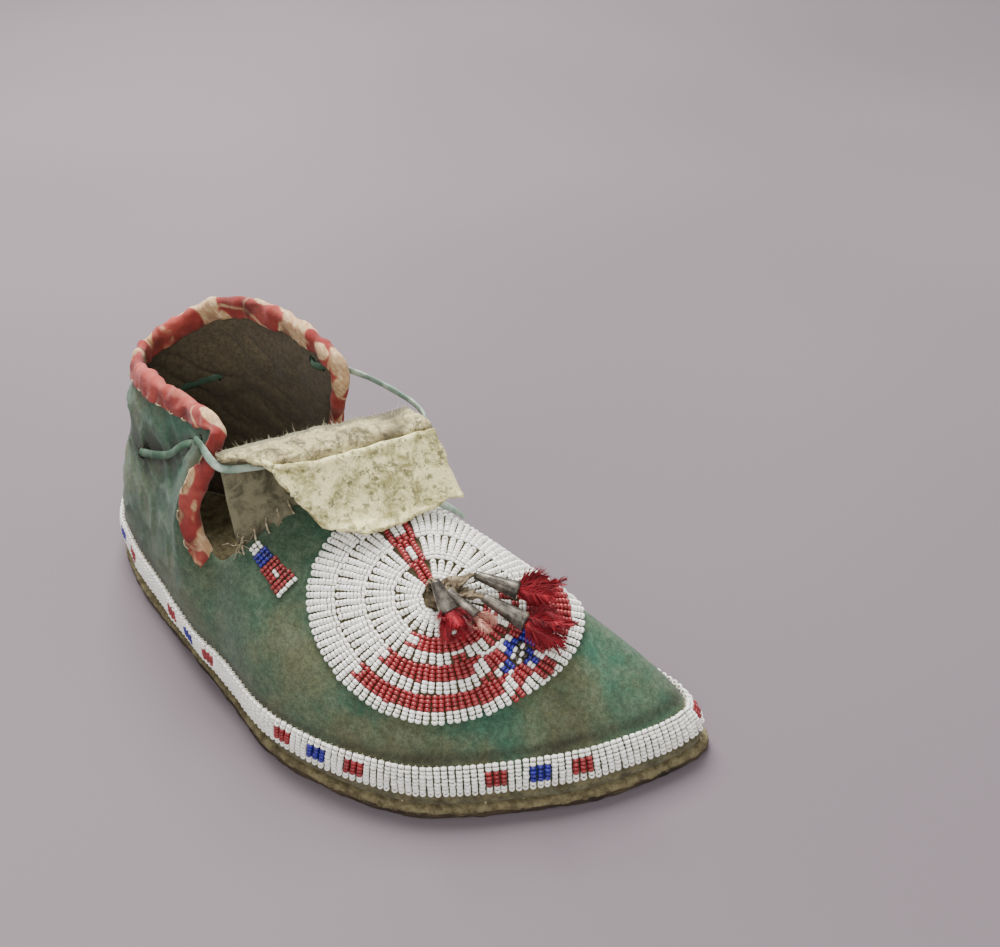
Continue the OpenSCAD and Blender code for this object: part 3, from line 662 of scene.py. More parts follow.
# ---------------------------------------------------------------- loops cut from CAD meshes
def chained(edges, points):
    """Closed loops of points from a set of edges, longest first."""
    links = {}
    for a, b in edges:
        links.setdefault(a, []).append(b)
        links.setdefault(b, []).append(a)
    loops, seen = [], set()
    for start in list(links):
        if start in seen:
            continue
        loop, at, before = [start], start, None
        seen.add(start)
        while True:
            following = [n for n in links[at] if n != before and n not in seen]
            if not following:
                break
            before, at = at, following[0]
            seen.add(at)
            loop.append(at)
        loops.append(points[loop])
    return sorted(loops, key=lambda p: -lengths(p, True)[-1])


def slice_loop(node, height):
    """The outline of a CAD node at a height, its longest loop."""
    bm = welded(node)
    cut = bmesh.ops.bisect_plane(
        bm, geom=bm.verts[:] + bm.edges[:] + bm.faces[:], plane_co=(0, 0, height), plane_no=(0, 0, 1), dist=1e-7
    )
    edges = [e for e in cut["geom_cut"] if isinstance(e, bmesh.types.BMEdge)]
    index = {}
    for e in edges:
        for v in e.verts:
            index.setdefault(v, len(index))
    points = np.array([list(v.co) for v in index])
    return chained([(index[e.verts[0]], index[e.verts[1]]) for e in edges], points)[0]


def from_toe(loop):
    """The loop again, starting at its foremost point and going round by the outer side."""
    loop = np.roll(loop, -int(np.argmax(loop[:, 0])), axis=0)
    ahead = loop[len(loop) // 12, 1]
    back = loop[-(len(loop) // 12), 1]
    return loop if ahead < back else np.roll(loop[::-1], 1, axis=0)


# ---------------------------------------------------------------- sole
SOLE_POINTS = 560
# The sole's edge from the ground up: how far it stands out in mm, and the share of its height
SOLE_EDGE = [
    (-1.6, 0.0), (-0.5, 0.0), (-0.05, 0.12), (0.05, 0.3), (0.0, 0.5),
    (0.06, 0.66), (-0.06, 0.84), (-0.45, 1.0), (-1.6, 1.02),
]


def make_sole(material):
    low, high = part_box("sole")
    outline = from_toe(slice_loop("sole", (low[2] + high[2]) / 2))
    outline = resampled(outline, SOLE_POINTS, closed=True)
    tangent = unit(np.roll(outline, -1, 0) - np.roll(outline, 1, 0))
    out = np.stack([tangent[:, 1], -tangent[:, 0], 0 * tangent[:, 0]], axis=1)
    if ((outline - outline.mean(0)) * out).sum() < 0:
        out = -out
    top = high[2]
    rows = []
    for j, (step, rise) in enumerate(SOLE_EDGE):
        row = outline + out * step * MM
        row[:, 2] = top * rise
        for i, p in enumerate(row):
            rough = ridged(p[0] * 160, p[1] * 160, p[2] * 420 + j, 3)
            edge = 1.0 if 1 <= j <= 7 else 0.0
            row[i] += out[i] * rough * 0.55 * MM * edge
            row[i, 2] += 0.22 * MM * edge * ridged(p[0] * 90, p[1] * 90, j * 0.3, 2) * (0 if rise < 0.05 else 1)
        row[:, 2] = np.maximum(row[:, 2], 0.0)
        rows.append(row)
    n = len(outline)
    inner = [outline + (outline.mean(0) - outline) * share for share in (0.1, 0.25, 0.45, 0.7, 0.93)]
    tops, bottoms = [], []
    for ring in inner:
        up = ring.copy()
        up[:, 2] = top
        for i, p in enumerate(up):
            up[i, 2] += 0.3 * MM * ridged(p[0] * 60, p[1] * 60, 1.0, 2)
        tops.append(up)
        down = ring.copy()
        down[:, 2] = 0
        bottoms.append(down)
    rings = bottoms[::-1] + rows + tops
    points = np.concatenate(rings)
    quads = grid_quads(len(rings), n, closed=True)[:, ::-1]
    centre = outline.mean(0)
    middle = np.array([[centre[0], centre[1], 0.0], [centre[0], centre[1], top]])
    first = [(len(points), k, (k + 1) % n) for k in range(n)]
    start = (len(rings) - 1) * n
    last = [(len(points) + 1, start + (k + 1) % n, start + k) for k in range(n)]
    pile = Pile()
    pile.add(np.vstack([points, middle]), quads, first + last)
    piece = pile.build("sole_rawhide", [material], "shoe", ["sole"], "rawhide")
    face_outward(piece.data)


# ---------------------------------------------------------------- beads
BEAD_R = 0.99 * MM
BEAD_HOLE = 0.34 * MM
BEAD_HALF = 0.62 * MM
WHITE, RED, BLUE, DARK, SINEW = range(5)


def bead_shape(around=14, across=8):
    """One bead round its z axis: a rounded ring, flattened a little at both ends."""
    mid, half = (BEAD_R + BEAD_HOLE) / 2, (BEAD_R - BEAD_HOLE) / 2
    points = []
    for i in range(around):
        a = 2 * math.pi * i / around
        for j in range(across):
            b = 2 * math.pi * (j + 0.5) / across
            r = mid + half * math.cos(b)
            z = BEAD_HALF * math.copysign(abs(math.sin(b)) ** 0.85, math.sin(b))
            points.append((r * math.cos(a), r * math.sin(a), z))
    points = np.array(points)
    quads = []
    for i in range(around):
        for j in range(across):
            a, b = i * across + j, i * across + (j + 1) % across
            c, d = ((i + 1) % around) * across + (j + 1) % across, ((i + 1) % around) * across + j
            quads.append((a, d, c, b))
    return points, np.array(quads)


BEAD_POINTS, BEAD_QUADS = bead_shape()


class Beads:
    """Beads of several colours that make one piece."""

    def __init__(self):
        self.pile = Pile()

    def add(self, centre, axis, normal, kind, pitch, girth=1.0):
        axis = unit(np.asarray(axis) + rng.normal(0, 0.05, 3))
        side = unit(np.cross(normal, axis))
        up = np.cross(axis, side)
        size = girth * (1 + rng.normal(0, 0.035))
        long = min(pitch * 0.5 / BEAD_HALF, 1.05) * (1 + rng.normal(0, 0.04))
        spin = rng.uniform(0, 2 * math.pi)
        c, s = math.cos(spin), math.sin(spin)
        x, y, z = BEAD_POINTS.T
        x, y = x * c - y * s, x * s + y * c
        points = centre + size * (np.outer(x, side) + np.outer(y, up)) + long * np.outer(z, axis)
        points = points + rng.normal(0, 0.04 * MM, 3)
        self.pile.add(points, BEAD_QUADS, mat=kind, tint=float(np.clip(rng.normal(0.72, 0.17), 0, 1)))

    def row(self, places, outs, kinds, hump=0.25 * MM, girth=1.0):
        """A row of beads on a thread that leaves the hide at one end and enters it at the other."""
        places, outs = np.asarray(places), np.asarray(outs)
        n = len(places)
        pitch = float(np.linalg.norm(places[-1] - places[0])) / max(n - 1, 1)
        arch = np.sin(math.pi * (np.arange(n) + 0.5) / n)
        centres = places + outs * (BEAD_R * girth * 0.86 + hump * arch)[:, None]
        axis = unit(np.gradient(centres, axis=0))
        axis[0] = unit(axis[0] + 0.4 * outs[0])
        axis[-1] = unit(axis[-1] - 0.4 * outs[-1])
        for i in range(n):
            self.add(centres[i], axis[i], outs[i], kinds[i], pitch, girth)
        leaves = places[0] - axis[0] * pitch * 0.9 - outs[0] * 0.4 * MM
        enters = places[-1] + axis[-1] * pitch * 0.9 - outs[-1] * 0.4 * MM
        thread_line = np.vstack([leaves, centres, enters])
        self.pile.add(*tube(thread_line, outs[0], 0.24 * MM, 0.24 * MM, 5), mat=SINEW)

    def build(self, name, materials, node, slot):
        return self.pile.build(name, materials, "shoe", [node], slot)


def slow_noise(a, scale, seed):
    return noise.noise(Vector((a * scale, seed, 0.37)))


BORDER_PITCH = 2.25 * MM
BORDER_BEADS = 8
GROUP_CENTRES = [0.100, 0.228, 0.357, 0.472, 0.604, 0.733, 0.862, 0.967]


def border_kind(row, rows, j):
    """Colour of bead j in a row of the border: groups of red, blue and red blocks on white."""
    offset = min(((row - round(c * rows) + rows // 2) % rows - rows // 2 for c in GROUP_CENTRES), key=abs)
    if 2 <= j <= 5:
        if abs(offset) <= 1:
            return BLUE
        if 5 <= abs(offset) <= 7:
            return RED
    return WHITE


def make_border(skin, materials):
    low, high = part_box("border_lane")
    middle = (low[2] + high[2]) / 2
    loop = from_toe(slice_loop("border_lane", middle))
    rows = round(lengths(loop, True)[-1] / BORDER_PITCH)
    loop = resampled(loop, rows, closed=True)
    base = [skin.near(p) for p in loop]
    places = np.array([b[0] for b in base])
    outs = np.array([b[1] for b in base])
    tangents = unit(np.roll(places, -1, 0) - np.roll(places, 1, 0))
    beads = Beads()
    pitch = (high[2] - low[2]) / BORDER_BEADS * 0.97
    for i in range(rows):
        up = unit(np.cross(outs[i], tangents[i]))
        if up[2] < 0:
            up = -up
        slant = 0.22 * slow_noise(i, 0.045, 5.0) + rng.normal(0, 0.02)
        shift = 0.35 * MM * slow_noise(i, 0.11, 9.0)
        here = []
        for j in range(BORDER_BEADS):
            d = (j - (BORDER_BEADS - 1) / 2) * pitch
            here.append(skin.near(places[i] + up * (d + shift) + tangents[i] * d * slant + outs[i] * 0.5 * MM))
        kinds = [border_kind(i, rows, j) for j in range(BORDER_BEADS)]
        beads.row([h[0] for h in here], [h[1] for h in here], kinds, hump=0.35 * MM)
    return beads.build("border_beads", materials, "border_lane", "white_beads")


# The rosette is laid out in polar form round its centre, as its bead rows are sewn.
RING_EDGES = [4.5, 12.6, 21.0, 29.7, 38.4]
RING_PITCH = 2.2 * MM
STRIPE_ANGLE = 158
STRIPE_ROWS = [2, 3, 4, 4, 4]
STRIPE_PITCH = 2.15


class Rosette:
    def __init__(self, skin):
        self.skin = skin
        self.centre, out = skin.near(middle_of("tassel_knot"))
        ways = np.array([(1, 0, 0), (-1, 0, 0), (0, 1, 0), (0, -1, 0)])
        around = [skin.near(self.centre + way * 9 * MM)[1] for way in ways]
        self.out = unit(np.mean(around, axis=0) + out)
        self.side = unit(np.cross(self.out, [1, 0, 0]))
        self.ahead = np.cross(self.side, self.out)
        self.tracks = {}

    def stretch(self, angle):
        """The rings are wider towards the toe's inner side, as on the real rosette."""
        a = (angle + 180) % 360 - 180
        return 1 + 0.26 * math.exp(-(((a - 32) / 34) ** 2)) + 0.07 * math.exp(-(((a + 150) / 28) ** 2))

    def track(self, angle):
        key = round(angle, 2)
        if key not in self.tracks:
            a = math.radians(angle)
            direction = self.ahead * math.cos(a) + self.side * math.sin(a)
            points = []
            for t in np.arange(0, 62, 1.0) * MM:
                start = self.centre + direction * t + self.out * 30 * MM
                hit, _, _, _ = self.skin.tree.ray_cast(Vector(start), Vector(-self.out), 0.09)
                if hit is None or (points and (hit - Vector(points[-1])).length > 6 * MM):
                    break
                points.append(list(hit))
            points = np.array(points)
            self.tracks[key] = (np.linalg.norm(points - self.centre, axis=1), points)
        return self.tracks[key]

    def at(self, angle, r):
        """The place on the hide r metres from the centre, and the hide's normal there."""
        reach, points = self.track(angle)
        p = np.array([np.interp(r, reach, points[:, k]) for k in range(3)])
        return self.skin.near(p + self.out * 0.3 * MM)

    def radius(self, edge, angle):
        return (RING_EDGES[0] + (edge - RING_EDGES[0]) * self.stretch(angle)) * MM


BAND_START = {2: -84, 3: -97, 4: -102}
BAND_END = {2: 36, 3: 46, 4: 56}
DIAMOND_ANGLE = 6.3
DIAMOND_R = 30.4
BEAD_PITCH = 1.14
INNER_BEAD_PITCH = 1.22


def rosette_kind(ring, i, n, angle, r, step):
    """Colour of bead i of n in a radial row, from its angle in degrees and radius in mm."""
    a = (angle + 180) % 360 - 180
    if ring < 2:
        return WHITE
    x = math.floor((a - DIAMOND_ANGLE) / step + 0.5)
    y = (r - DIAMOND_R) / BEAD_PITCH
    if abs(x) * 1.5 + abs(y) < 5.2:
        if abs(x) <= 1 and abs(y) < 2.2 - 0.8 * abs(x):
            return DARK if (i + x) % 2 else WHITE
        return BLUE
    if abs(x) < 7 and abs(y) < 10:
        cell = math.floor(x / 3 + 0.5) + math.floor(y / 4 + 0.5)
        return RED if cell % 2 == 0 else WHITE
    start, end = BAND_START[ring], BAND_END[ring]
    if not start < a < end:
        return WHITE
    half = n // 2
    from_end = min((a - start) / step, (end - a) / step)
    if from_end < 1:
        return RED if i in (0, half) else WHITE
    if from_end < 2:
        return RED if i in (0, 1, half - 1, half) else WHITE
    return RED if i <= half else WHITE


def row_between(rosette, angle_of, r0, r1, bead_pitch):
    """Places and normals of a row of beads from r0 to r1; angle_of gives the angle at a radius."""
    n = max(3, round((r1 - r0) / bead_pitch))
    step = (r1 - r0) / n
    found = [rosette.at(angle_of(r0 + (i + 0.5) * step), r0 + (i + 0.5) * step) for i in range(n)]
    return [f[0] for f in found], [f[1] for f in found]


def make_rings(rosette, materials):
    for ring in range(1, 5):
        beads = Beads()
        inner, outer = RING_EDGES[ring - 1], RING_EDGES[ring]
        stripe_half = STRIPE_ROWS[ring - 1] * STRIPE_PITCH / 2 + 0.35
        half = math.degrees(math.asin(min(0.95, stripe_half / ((inner + outer) / 2))))
        sweep = np.linspace(STRIPE_ANGLE + half, STRIPE_ANGLE + 360 - half, 721)
        mid = np.array([rosette.radius((inner + outer) / 2 + 1.2, a) for a in sweep])
        arc = np.concatenate([[0], np.cumsum(np.radians(np.diff(sweep)) * (mid[1:] + mid[:-1]) / 2)])
        rows = round(arc[-1] / RING_PITCH)
        angles = np.interp((np.arange(rows) + 0.5) / rows * arc[-1], arc, sweep)
        step = 360 / rows
        for angle in angles:
            angle = angle + rng.normal(0, 0.035) * step
            lean = rng.normal(0, 0.25)
            r0 = rosette.radius(inner, angle) + (0.25 + rng.normal(0, 0.12)) * MM
            r1 = rosette.radius(outer, angle) - (0.2 + rng.normal(0, 0.16)) * MM
            mid_r = (r0 + r1) / 2
            bead_pitch = (BEAD_PITCH if ring > 1 else INNER_BEAD_PITCH) * MM
            slope = lean / MM * 0.12
            spots, outs = row_between(rosette, lambda r: angle + slope * (r - mid_r), r0, r1, bead_pitch)
            n = len(spots)
            stretch = rosette.stretch(angle)
            kinds = []
            for i in range(n):
                r = (r0 + (r1 - r0) * (i + 0.5) / n) / MM
                kinds.append(rosette_kind(ring, i, n, angle, r, step))
            beads.row(spots, outs, kinds, hump=0.3 * MM * stretch)
        beads.build(f"rosette_beads_{ring}", materials, f"rosette_ring_{ring}", "white_beads")


def stripe_kind(ring, row, rows, i):
    middle = 0 < row < rows - 1
    if ring == 2 and middle and 1 <= i <= 4:
        return WHITE
    if ring == 3 and middle and 2 <= i <= 5:
        return WHITE
    if ring == 4 and not middle and i == 4:
        return WHITE
    return RED


def make_stripe(rosette, materials):
    beads = Beads()
    edges = RING_EDGES + [46.0]
    for ring in range(1, 6):
        rows = STRIPE_ROWS[ring - 1]
        for row in range(rows):
            offset = (row - (rows - 1) / 2) * STRIPE_PITCH * MM
            spots, outs = row_between(
                rosette,
                lambda r: STRIPE_ANGLE + math.degrees(math.asin(max(-0.9, min(0.9, offset / r)))),
                edges[ring - 1] * MM + 0.2 * MM,
                edges[ring] * MM,
                1.15 * MM,
            )
            kinds = [stripe_kind(ring, row, rows, i) for i in range(len(spots))]
            beads.row(spots, outs, kinds, hump=0.3 * MM)
    beads.build("stripe_beads", materials, "rosette_stripe", "red_beads")


TAB_ROWS = [3, 3, 4, 4, 4, 5, 5, 5, 5, 6, 6, 6]
TAB_PITCH = 1.4 * MM
TAB_GIRTH = 0.72


def tab_kind(row, n, i):
    if row < 2 or row == len(TAB_ROWS) - 1:
        return WHITE
    if row < 5:
        return BLUE
    return WHITE if row in (7, 8) and abs(i - (n - 1) / 2) < 0.8 else RED


def make_tab(skin, node, name, materials):
    co = coords(NODES[node].data)
    _, _, axes = np.linalg.svd(co - co.mean(0), full_matrices=False)
    long = axes[0] if axes[0][2] < 0 else -axes[0]
    along = (co - co.mean(0)) @ long
    span = along.max() - along.min()
    top = co[along < along.min() + 0.12 * span].mean(0)
    bottom = co[along > along.max() - 0.12 * span].mean(0)
    beads = Beads()
    for row, n in enumerate(TAB_ROWS):
        share = (row + 0.3) / (len(TAB_ROWS) - 0.4)
        middle, out = skin.near(top + (bottom - top) * share)
        across = unit(np.cross(out, bottom - top))
        middle = middle + out * 0.3 * MM
        steps = [across * (i - (n - 1) / 2) * TAB_PITCH for i in range(n)]
        spots = [middle + step + rng.normal(0, 0.05 * MM, 3) for step in steps]
        here = [skin.near(spot) for spot in spots]
        kinds = [tab_kind(row, n, i) for i in range(n)]
        beads.row([h[0] for h in here], [h[1] for h in here], kinds, 0.3 * MM, TAB_GIRTH)
    beads.build(name, materials, node, "red_beads")


# ---------------------------------------------------------------- threads
def stitch_ends(node):
    """The two ends of each short stitch in a CAD node."""
    bm = welded(node)
    seen, found = set(), []
    for start in bm.verts:
        if start.index in seen:
            continue
        group, stack = [], [start]
        seen.add(start.index)
        while stack:
            v = stack.pop()
            group.append(list(v.co))
            for e in v.link_edges:
                w = e.other_vert(v)
                if w.index not in seen:
                    seen.add(w.index)
                    stack.append(w)
        g = np.array(group)
        axis = np.linalg.svd(g - g.mean(0), full_matrices=False)[2][0]
        t = (g - g.mean(0)) @ axis
        found.append((g[t < t.min() + 0.2 * np.ptp(t)].mean(0), g[t > t.max() - 0.2 * np.ptp(t)].mean(0)))
    bm.free()
    return found


def thread_stitches(node, name, skin, material, radius, rise):
    """Arched two-ply stitches whose ends dip into the hide."""
    pile = Pile()
    for a, b in stitch_ends(node):
        _, out = skin.near((a + b) / 2)
        a, b = a + (a - b) * 0.12, b + (b - a) * 0.12
        t = np.linspace(0, 1, 13)
        drift = rng.normal(0, 0.25 * MM, 3)
        line = a + np.outer(t, b - a) + np.outer(np.sin(math.pi * t), drift)
        line += np.outer(np.sin(math.pi * t) * rise - (1 - np.sin(math.pi * t)) ** 3 * rise, out)
        side = unit(np.cross(b - a, out))
        for ply in (0, math.pi):
            turn = t * 2 * math.pi * 2.2 + ply
            twisted = line + radius * 0.55 * (np.outer(np.cos(turn), side) + np.outer(np.sin(turn), out))
            pile.add(*tube(twisted, out, radius * 0.75, radius * 0.75, 6))
    return pile.build(name, [material], "shoe", [node], "thread")


# ---------------------------------------------------------------- binding
def smoothed(vectors, reach):
    weights = np.exp(-((np.arange(-reach, reach + 1) / (reach / 2)) ** 2))
    padded = np.vstack([np.repeat(vectors[:1], reach, 0), vectors, np.repeat(vectors[-1:], reach, 0)])
    return unit(np.stack([np.convolve(padded[:, k], weights, "valid") for k in range(3)], axis=1))


def edge_frames(run, skin):
    """Outward normals, and directions that leave the edge along the hide, at each point of a run."""
    tangent = unit(np.gradient(run, axis=0))
    outs = np.array([skin.near(p)[1] for p in run])
    outs = smoothed(outs, 4)
    down = []
    for p, t, n in zip(run, tangent, outs):
        d = unit(np.cross(n, t))
        a = skin.tree.find_nearest(Vector(p + d * 5 * MM))[3]
        b = skin.tree.find_nearest(Vector(p - d * 5 * MM))[3]
        down.append(d if a < b else -d)
    return outs, smoothed(np.array(down), 5)


def make_binding(node, name, material):
    """The cloth folded over the edge, gathered and puckered by its stitches."""
    mesh = smooth_mesh(node, name, 3)
    co = coords(mesh)
    no = normals(mesh)
    stitches = KDTree(1000)
    for i, (a, b) in enumerate(stitch_ends("binding_stitches")):
        stitches.insert(Vector((a + b) / 2), i)
    stitches.balance()
    high = np.zeros(len(co))
    for i, p in enumerate(co):
        x, y, z = p / MM
        gather = 1 - 2.4 * abs(noise.noise(Vector((x / 9, y / 9, z / 13))))
        pull = math.exp(-((stitches.find(Vector(p))[2] / (2.2 * MM)) ** 2))
        broad = ridged(x / 13, y / 13, z / 13, 2)
        fine = ridged(x / 2.6, y / 2.6, z / 3.4, 2)
        high[i] = 1.1 * broad + 0.75 * gather + 0.2 * fine - 0.7 * pull
    set_coords(mesh, co + no * (high * MM)[:, None])
    # painted shade: darker where the cloth sinks into its gathers and is pulled in at the stitches, over a
    # light even darkening
    set_tint(mesh, np.clip(0.3 - 0.7 * high, 0, 0.9), "dirt_and_shade")
    mesh.materials.append(material)
    piece = place(bpy.data.objects.new(name, mesh), "shoe", [node])


# ---------------------------------------------------------------- tongue
TONGUE_T = 1.5 * MM
SEAM_REACH = 2.3 * MM


class Fold:
    """The line that the tongue folds over: s runs along it, p forward of it and z up."""

    def __init__(self):
        joint = JOINTS["flap_fold"]
        self.start = np.array(joint["pos_m"])
        self.along = -unit(joint["axis"])
        self.front = np.array([self.along[1], -self.along[0], 0.0])
        tree = tree_of_node("tongue_flap")
        self.low_s, self.high_s = 1e9, -1e9
        for p in coords(NODES["tongue_flap"].data):
            s = (p - self.start) @ self.along
            self.low_s, self.high_s = min(self.low_s, s), max(self.high_s, s)
        middle = (self.low_s + self.high_s) / 2
        section = []
        for p in np.arange(0.3, 28.5, 0.4) * MM:
            base = self.at(middle, p, 0.0)
            up = tree.ray_cast(Vector(base + [0, 0, 0.05]), Vector((0, 0, -1)), 0.2)[0]
            under = tree.ray_cast(Vector(base - [0, 0, 0.06]), Vector((0, 0, 1)), 0.2)[0]
            if up is not None and under is not None:
                section.append((p, (up.z + under.z) / 2 - self.start[2]))
        self.section = np.array(section)

    def at(self, s, p, z):
        return self.start + self.along * s + self.front * p + np.array([0, 0, z])

    def foot(self):
        """The line along which the tongue is sewn to the throat, from its outer end."""
        hide = tree_of_node("upper")
        groups = {}
        for p in coords(NODES["tongue_base"].data):
            if hide.find_nearest(Vector(p), SEAM_REACH)[0] is None:
                continue
            groups.setdefault(round(float((p - self.start) @ self.along) / MM), []).append(p)
        return np.array([np.mean(groups[s], axis=0) for s in sorted(groups)])

    def flap_path(self, count, reach):
        """Points (p, z) along the flap's section, as far as reach mm forward."""
        p, z = self.section.T
        slope = (z[-1] - z[-6]) / (p[-1] - p[-6])
        p = np.append(p, p[-1] + 6 * MM)
        z = np.append(z, z[-1] + slope * 6 * MM)
        ahead = np.linspace(p[0], reach * MM, 400)
        far = np.array([ahead, np.interp(ahead, p, z)]).T
        d = np.concatenate([[0], np.cumsum(np.linalg.norm(np.diff(far, axis=0), axis=1))])
        at = np.linspace(0, d[-1], count)
        return np.stack([np.interp(at, d, far[:, 0]), np.interp(at, d, far[:, 1])], axis=1)


def make_tongue(fold, skin, material, fibre):
    foot = fold.foot()
    cols, base_rows, flap_rows = 120, 26, 64
    foot = resampled(foot, cols)
    outs, down = edge_frames(foot, skin)
    share = np.linspace(0, 1, cols)
    width = fold.high_s - 5 * MM
    tops = np.array([fold.at(width * c - 3.4 * MM * (1 - c) ** 6, -0.2 * MM, -1.6 * MM) for c in share])
    rows, tint, dirt_and_shade = [], [], []
    for t in np.linspace(0, 1, base_rows):
        row = []
        for i in range(cols):
            tuck = foot[i] + down[i] * 3.2 * MM - outs[i] * (HIDE_T + TONGUE_T) * 0.6
            lip = foot[i] - down[i] * 0.4 * MM
            p = tuck * (1 - soft_step(t, 0, 0.12)) + lip * soft_step(t, 0, 0.12)
            p = p * (1 - t) + tops[i] * t
            c = share[i]
            gather = math.sin(c * 34 + 2.5 * slow_noise(c, 7, 1.0)) * 0.5 * (1 - t) ** 1.5
            swell = 1.3 * ridged(c * 4.2, t * 2.2, 3.3, 3) * math.sin(math.pi * t) ** 0.7
            sag = -2.2 * math.sin(math.pi * t) * (1 - 0.6 * c)
            row.append(p + fold.front * (gather + swell + sag) * MM)
        rows.append(row)
        tint.append(np.full(cols, 0.1 + 0.12 * t))
        # dirt_and_shade on the base: darker towards the seam at the throat
        dirt_and_shade.append(0.35 * (1 - t) * np.ones(cols))
    lowest = np.interp(share, [0, 0.1, 0.33, 0.5, 0.8, 0.93, 1.0], [19, 26, 31, 30, 27.5, 26.5, 27])
    reaches = [r + 0.8 * slow_noise(c, 9, 4.0) + 0.35 * slow_noise(c, 40, 6.0) for r, c in zip(lowest, share)]
    paths = [fold.flap_path(flap_rows, reach) for reach in reaches]
    lean_left = ([0, 0.1, 0.3, 0.45, 0.75, 1.0], [-4.0, -2.6, 5.0, 8.5, 12.0, 17.0])
    lean_right = ([0, 0.3, 0.6, 1.0], [59.0, 63.5, 65.5, 68.0])
    for j in range(flap_rows):
        b = j / (flap_rows - 1)
        left = np.interp(b, *lean_left) + 0.7 * slow_noise(b, 8, 2.0) + 0.3 * slow_noise(b, 30, 2.5)
        right = np.interp(b, *lean_right) + 0.6 * slow_noise(b, 8, 5.0) + 0.25 * slow_noise(b, 34, 5.5)
        crease = math.exp(-(((b - 0.33) / 0.022) ** 2))
        ridge = math.exp(-(((b - 0.385) / 0.024) ** 2))
        row = []
        for i in range(cols):
            p, z = paths[i][j]
            c = share[i]
            s = left + (right - left) * c
            swell = 0.9 * ridged(c * 3.1, b * 2.4, 8.8, 3) + 0.3 * ridged(c * 14, b * 9, 2.1, 2)
            crest = 0.8 * math.exp(-((b / 0.06) ** 2)) * (1 + slow_noise(c, 12, 7.0))
            drop = -0.9 * crease + 0.9 * ridge + swell * (0.35 + b) + crest
            curl = 1.2 * soft_step(b, 0.8, 1.0) * (0.5 + slow_noise(c, 5, 9.0))
            drop -= 1.6 * math.exp(-((c / 0.05) ** 2)) * (1 - b)
            row.append(fold.at(s * MM, p + curl * MM, z + drop * MM))
        rows.append(row)
        tint.append(np.full(cols, 0.2 + 0.32 * soft_step(b, 0.0, 0.06) + 0.45 * soft_step(b, 0.33, 0.39)))
        # dirt_and_shade on the flap: painted shade along the crease, and a darker noisy band between the fold
        # and the crease, stronger towards the end at share 1
        smear = np.array([0.5 + 0.9 * ridged(c * 7, b * 6, 6.6, 3) for c in share])
        band = (1 - soft_step(b, 0.28, 0.34)) * (0.2 + 0.75 * soft_step(share, 0.45, 0.85))
        dirt_and_shade.append(np.clip(0.9 * crease * smear + band * smear, 0, 1))
    rows = np.array(rows)
    n_rows = len(rows)
    face = unit(np.cross(np.gradient(rows, axis=0), np.gradient(rows, axis=1)))
    if (face[-flap_rows // 2, :, 2]).mean() < 0:
        face = -face
    grain = [[ridged(i * 0.12, j * 0.12, 4.4, 2) for i in range(cols)] for j in range(n_rows)]
    thick = TONGUE_T * (1 + 0.15 * np.array(grain))
    upper_side = rows + face * thick[..., None] / 2
    under_side = rows - face * thick[..., None] / 2
    pile = Pile()
    values = np.concatenate([np.array(tint).ravel()] * 2)
    points = np.concatenate([upper_side.reshape(-1, 3), under_side.reshape(-1, 3)])
    pile.add(points, sheet_quads(n_rows, cols), tint=values)
    piece = pile.build("tongue_hide", [material], None, slot="cream_hide")
    set_tint(piece.data, np.concatenate([np.array(dirt_and_shade).ravel()] * 2), "dirt_and_shade")
    face_outward(piece.data)
    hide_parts("tongue_base", "tongue_flap")
    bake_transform(piece)
    make_fibres(fold, upper_side, face, base_rows, fibre)
    return foot, outs


def make_fibres(fold, grid, face, base_rows, fibre):
    """Loose fibres of the hide along the fold and the flap's edges."""
    n_rows, cols = grid.shape[:2]
    spots = []
    for _ in range(900):
        j = int(np.clip(base_rows + abs(rng.normal(0, 8)), 0, n_rows - 1))
        spots.append((j, rng.integers(0, cols), 1.0))
    for _ in range(150):
        spots.append((n_rows - 1, rng.integers(0, cols), 0.6))
    for _ in range(120):
        spots.append((rng.integers(base_rows, n_rows), 0 if rng.random() < 0.6 else cols - 1, 0.8))
    shoe, flap = Pile(), Pile()
    for j, i, size in spots:
        root = grid[j, i] - face[j, i] * 0.2 * MM
        lean = unit(face[j, i] + rng.normal(0, 0.6, 3) - fold.front * (0.5 if j < base_rows + 4 else -0.3))
        long = size * rng.uniform(0.3, 1.0) ** 2 * 2.6 * MM
        t = np.linspace(0, 1, 5)
        bend = rng.normal(0, 0.35, 3)
        line = root + np.outer(t, lean) * long + np.outer(t**2, bend) * long * 0.7
        width = 0.055 * MM * (1.1 - t)
        target = flap if j > base_rows + 9 else shoe
        target.add(*tube(line, [0.3, 0.2, 1.0], width, width, 3, round_ends=False), tint=rng.uniform(0.2, 1))
    shoe.build("fold_fibres", [fibre], "shoe")
    flap.build("flap_fibres", [fibre], "flap")


def frayed_threads(foot, outs, material):
    """Loose sinew ends at the outer end of the tongue's seam."""
    pile = Pile()
    for _ in range(15):
        i = int(abs(rng.normal(0, 7)))
        root = foot[i] + outs[i] * 0.4 * MM
        line = [root]
        heading = unit(outs[i] + rng.normal(0, 0.7, 3))
        for _ in range(9):
            heading = unit(heading + rng.normal(0, 0.55, 3) - 0.08 * outs[i])
            step = line[-1] + heading * 0.75 * MM
            lift = (step - root) @ outs[i]
            if lift < 0.3 * MM:
                step = step + outs[i] * (0.3 * MM - lift)
            line.append(step)
        pile.add(*tube(curve_through(line, 3), outs[i], 0.13 * MM, 0.13 * MM, 5))
    pile.build("seam_threads", [material], "shoe", slot="thread")


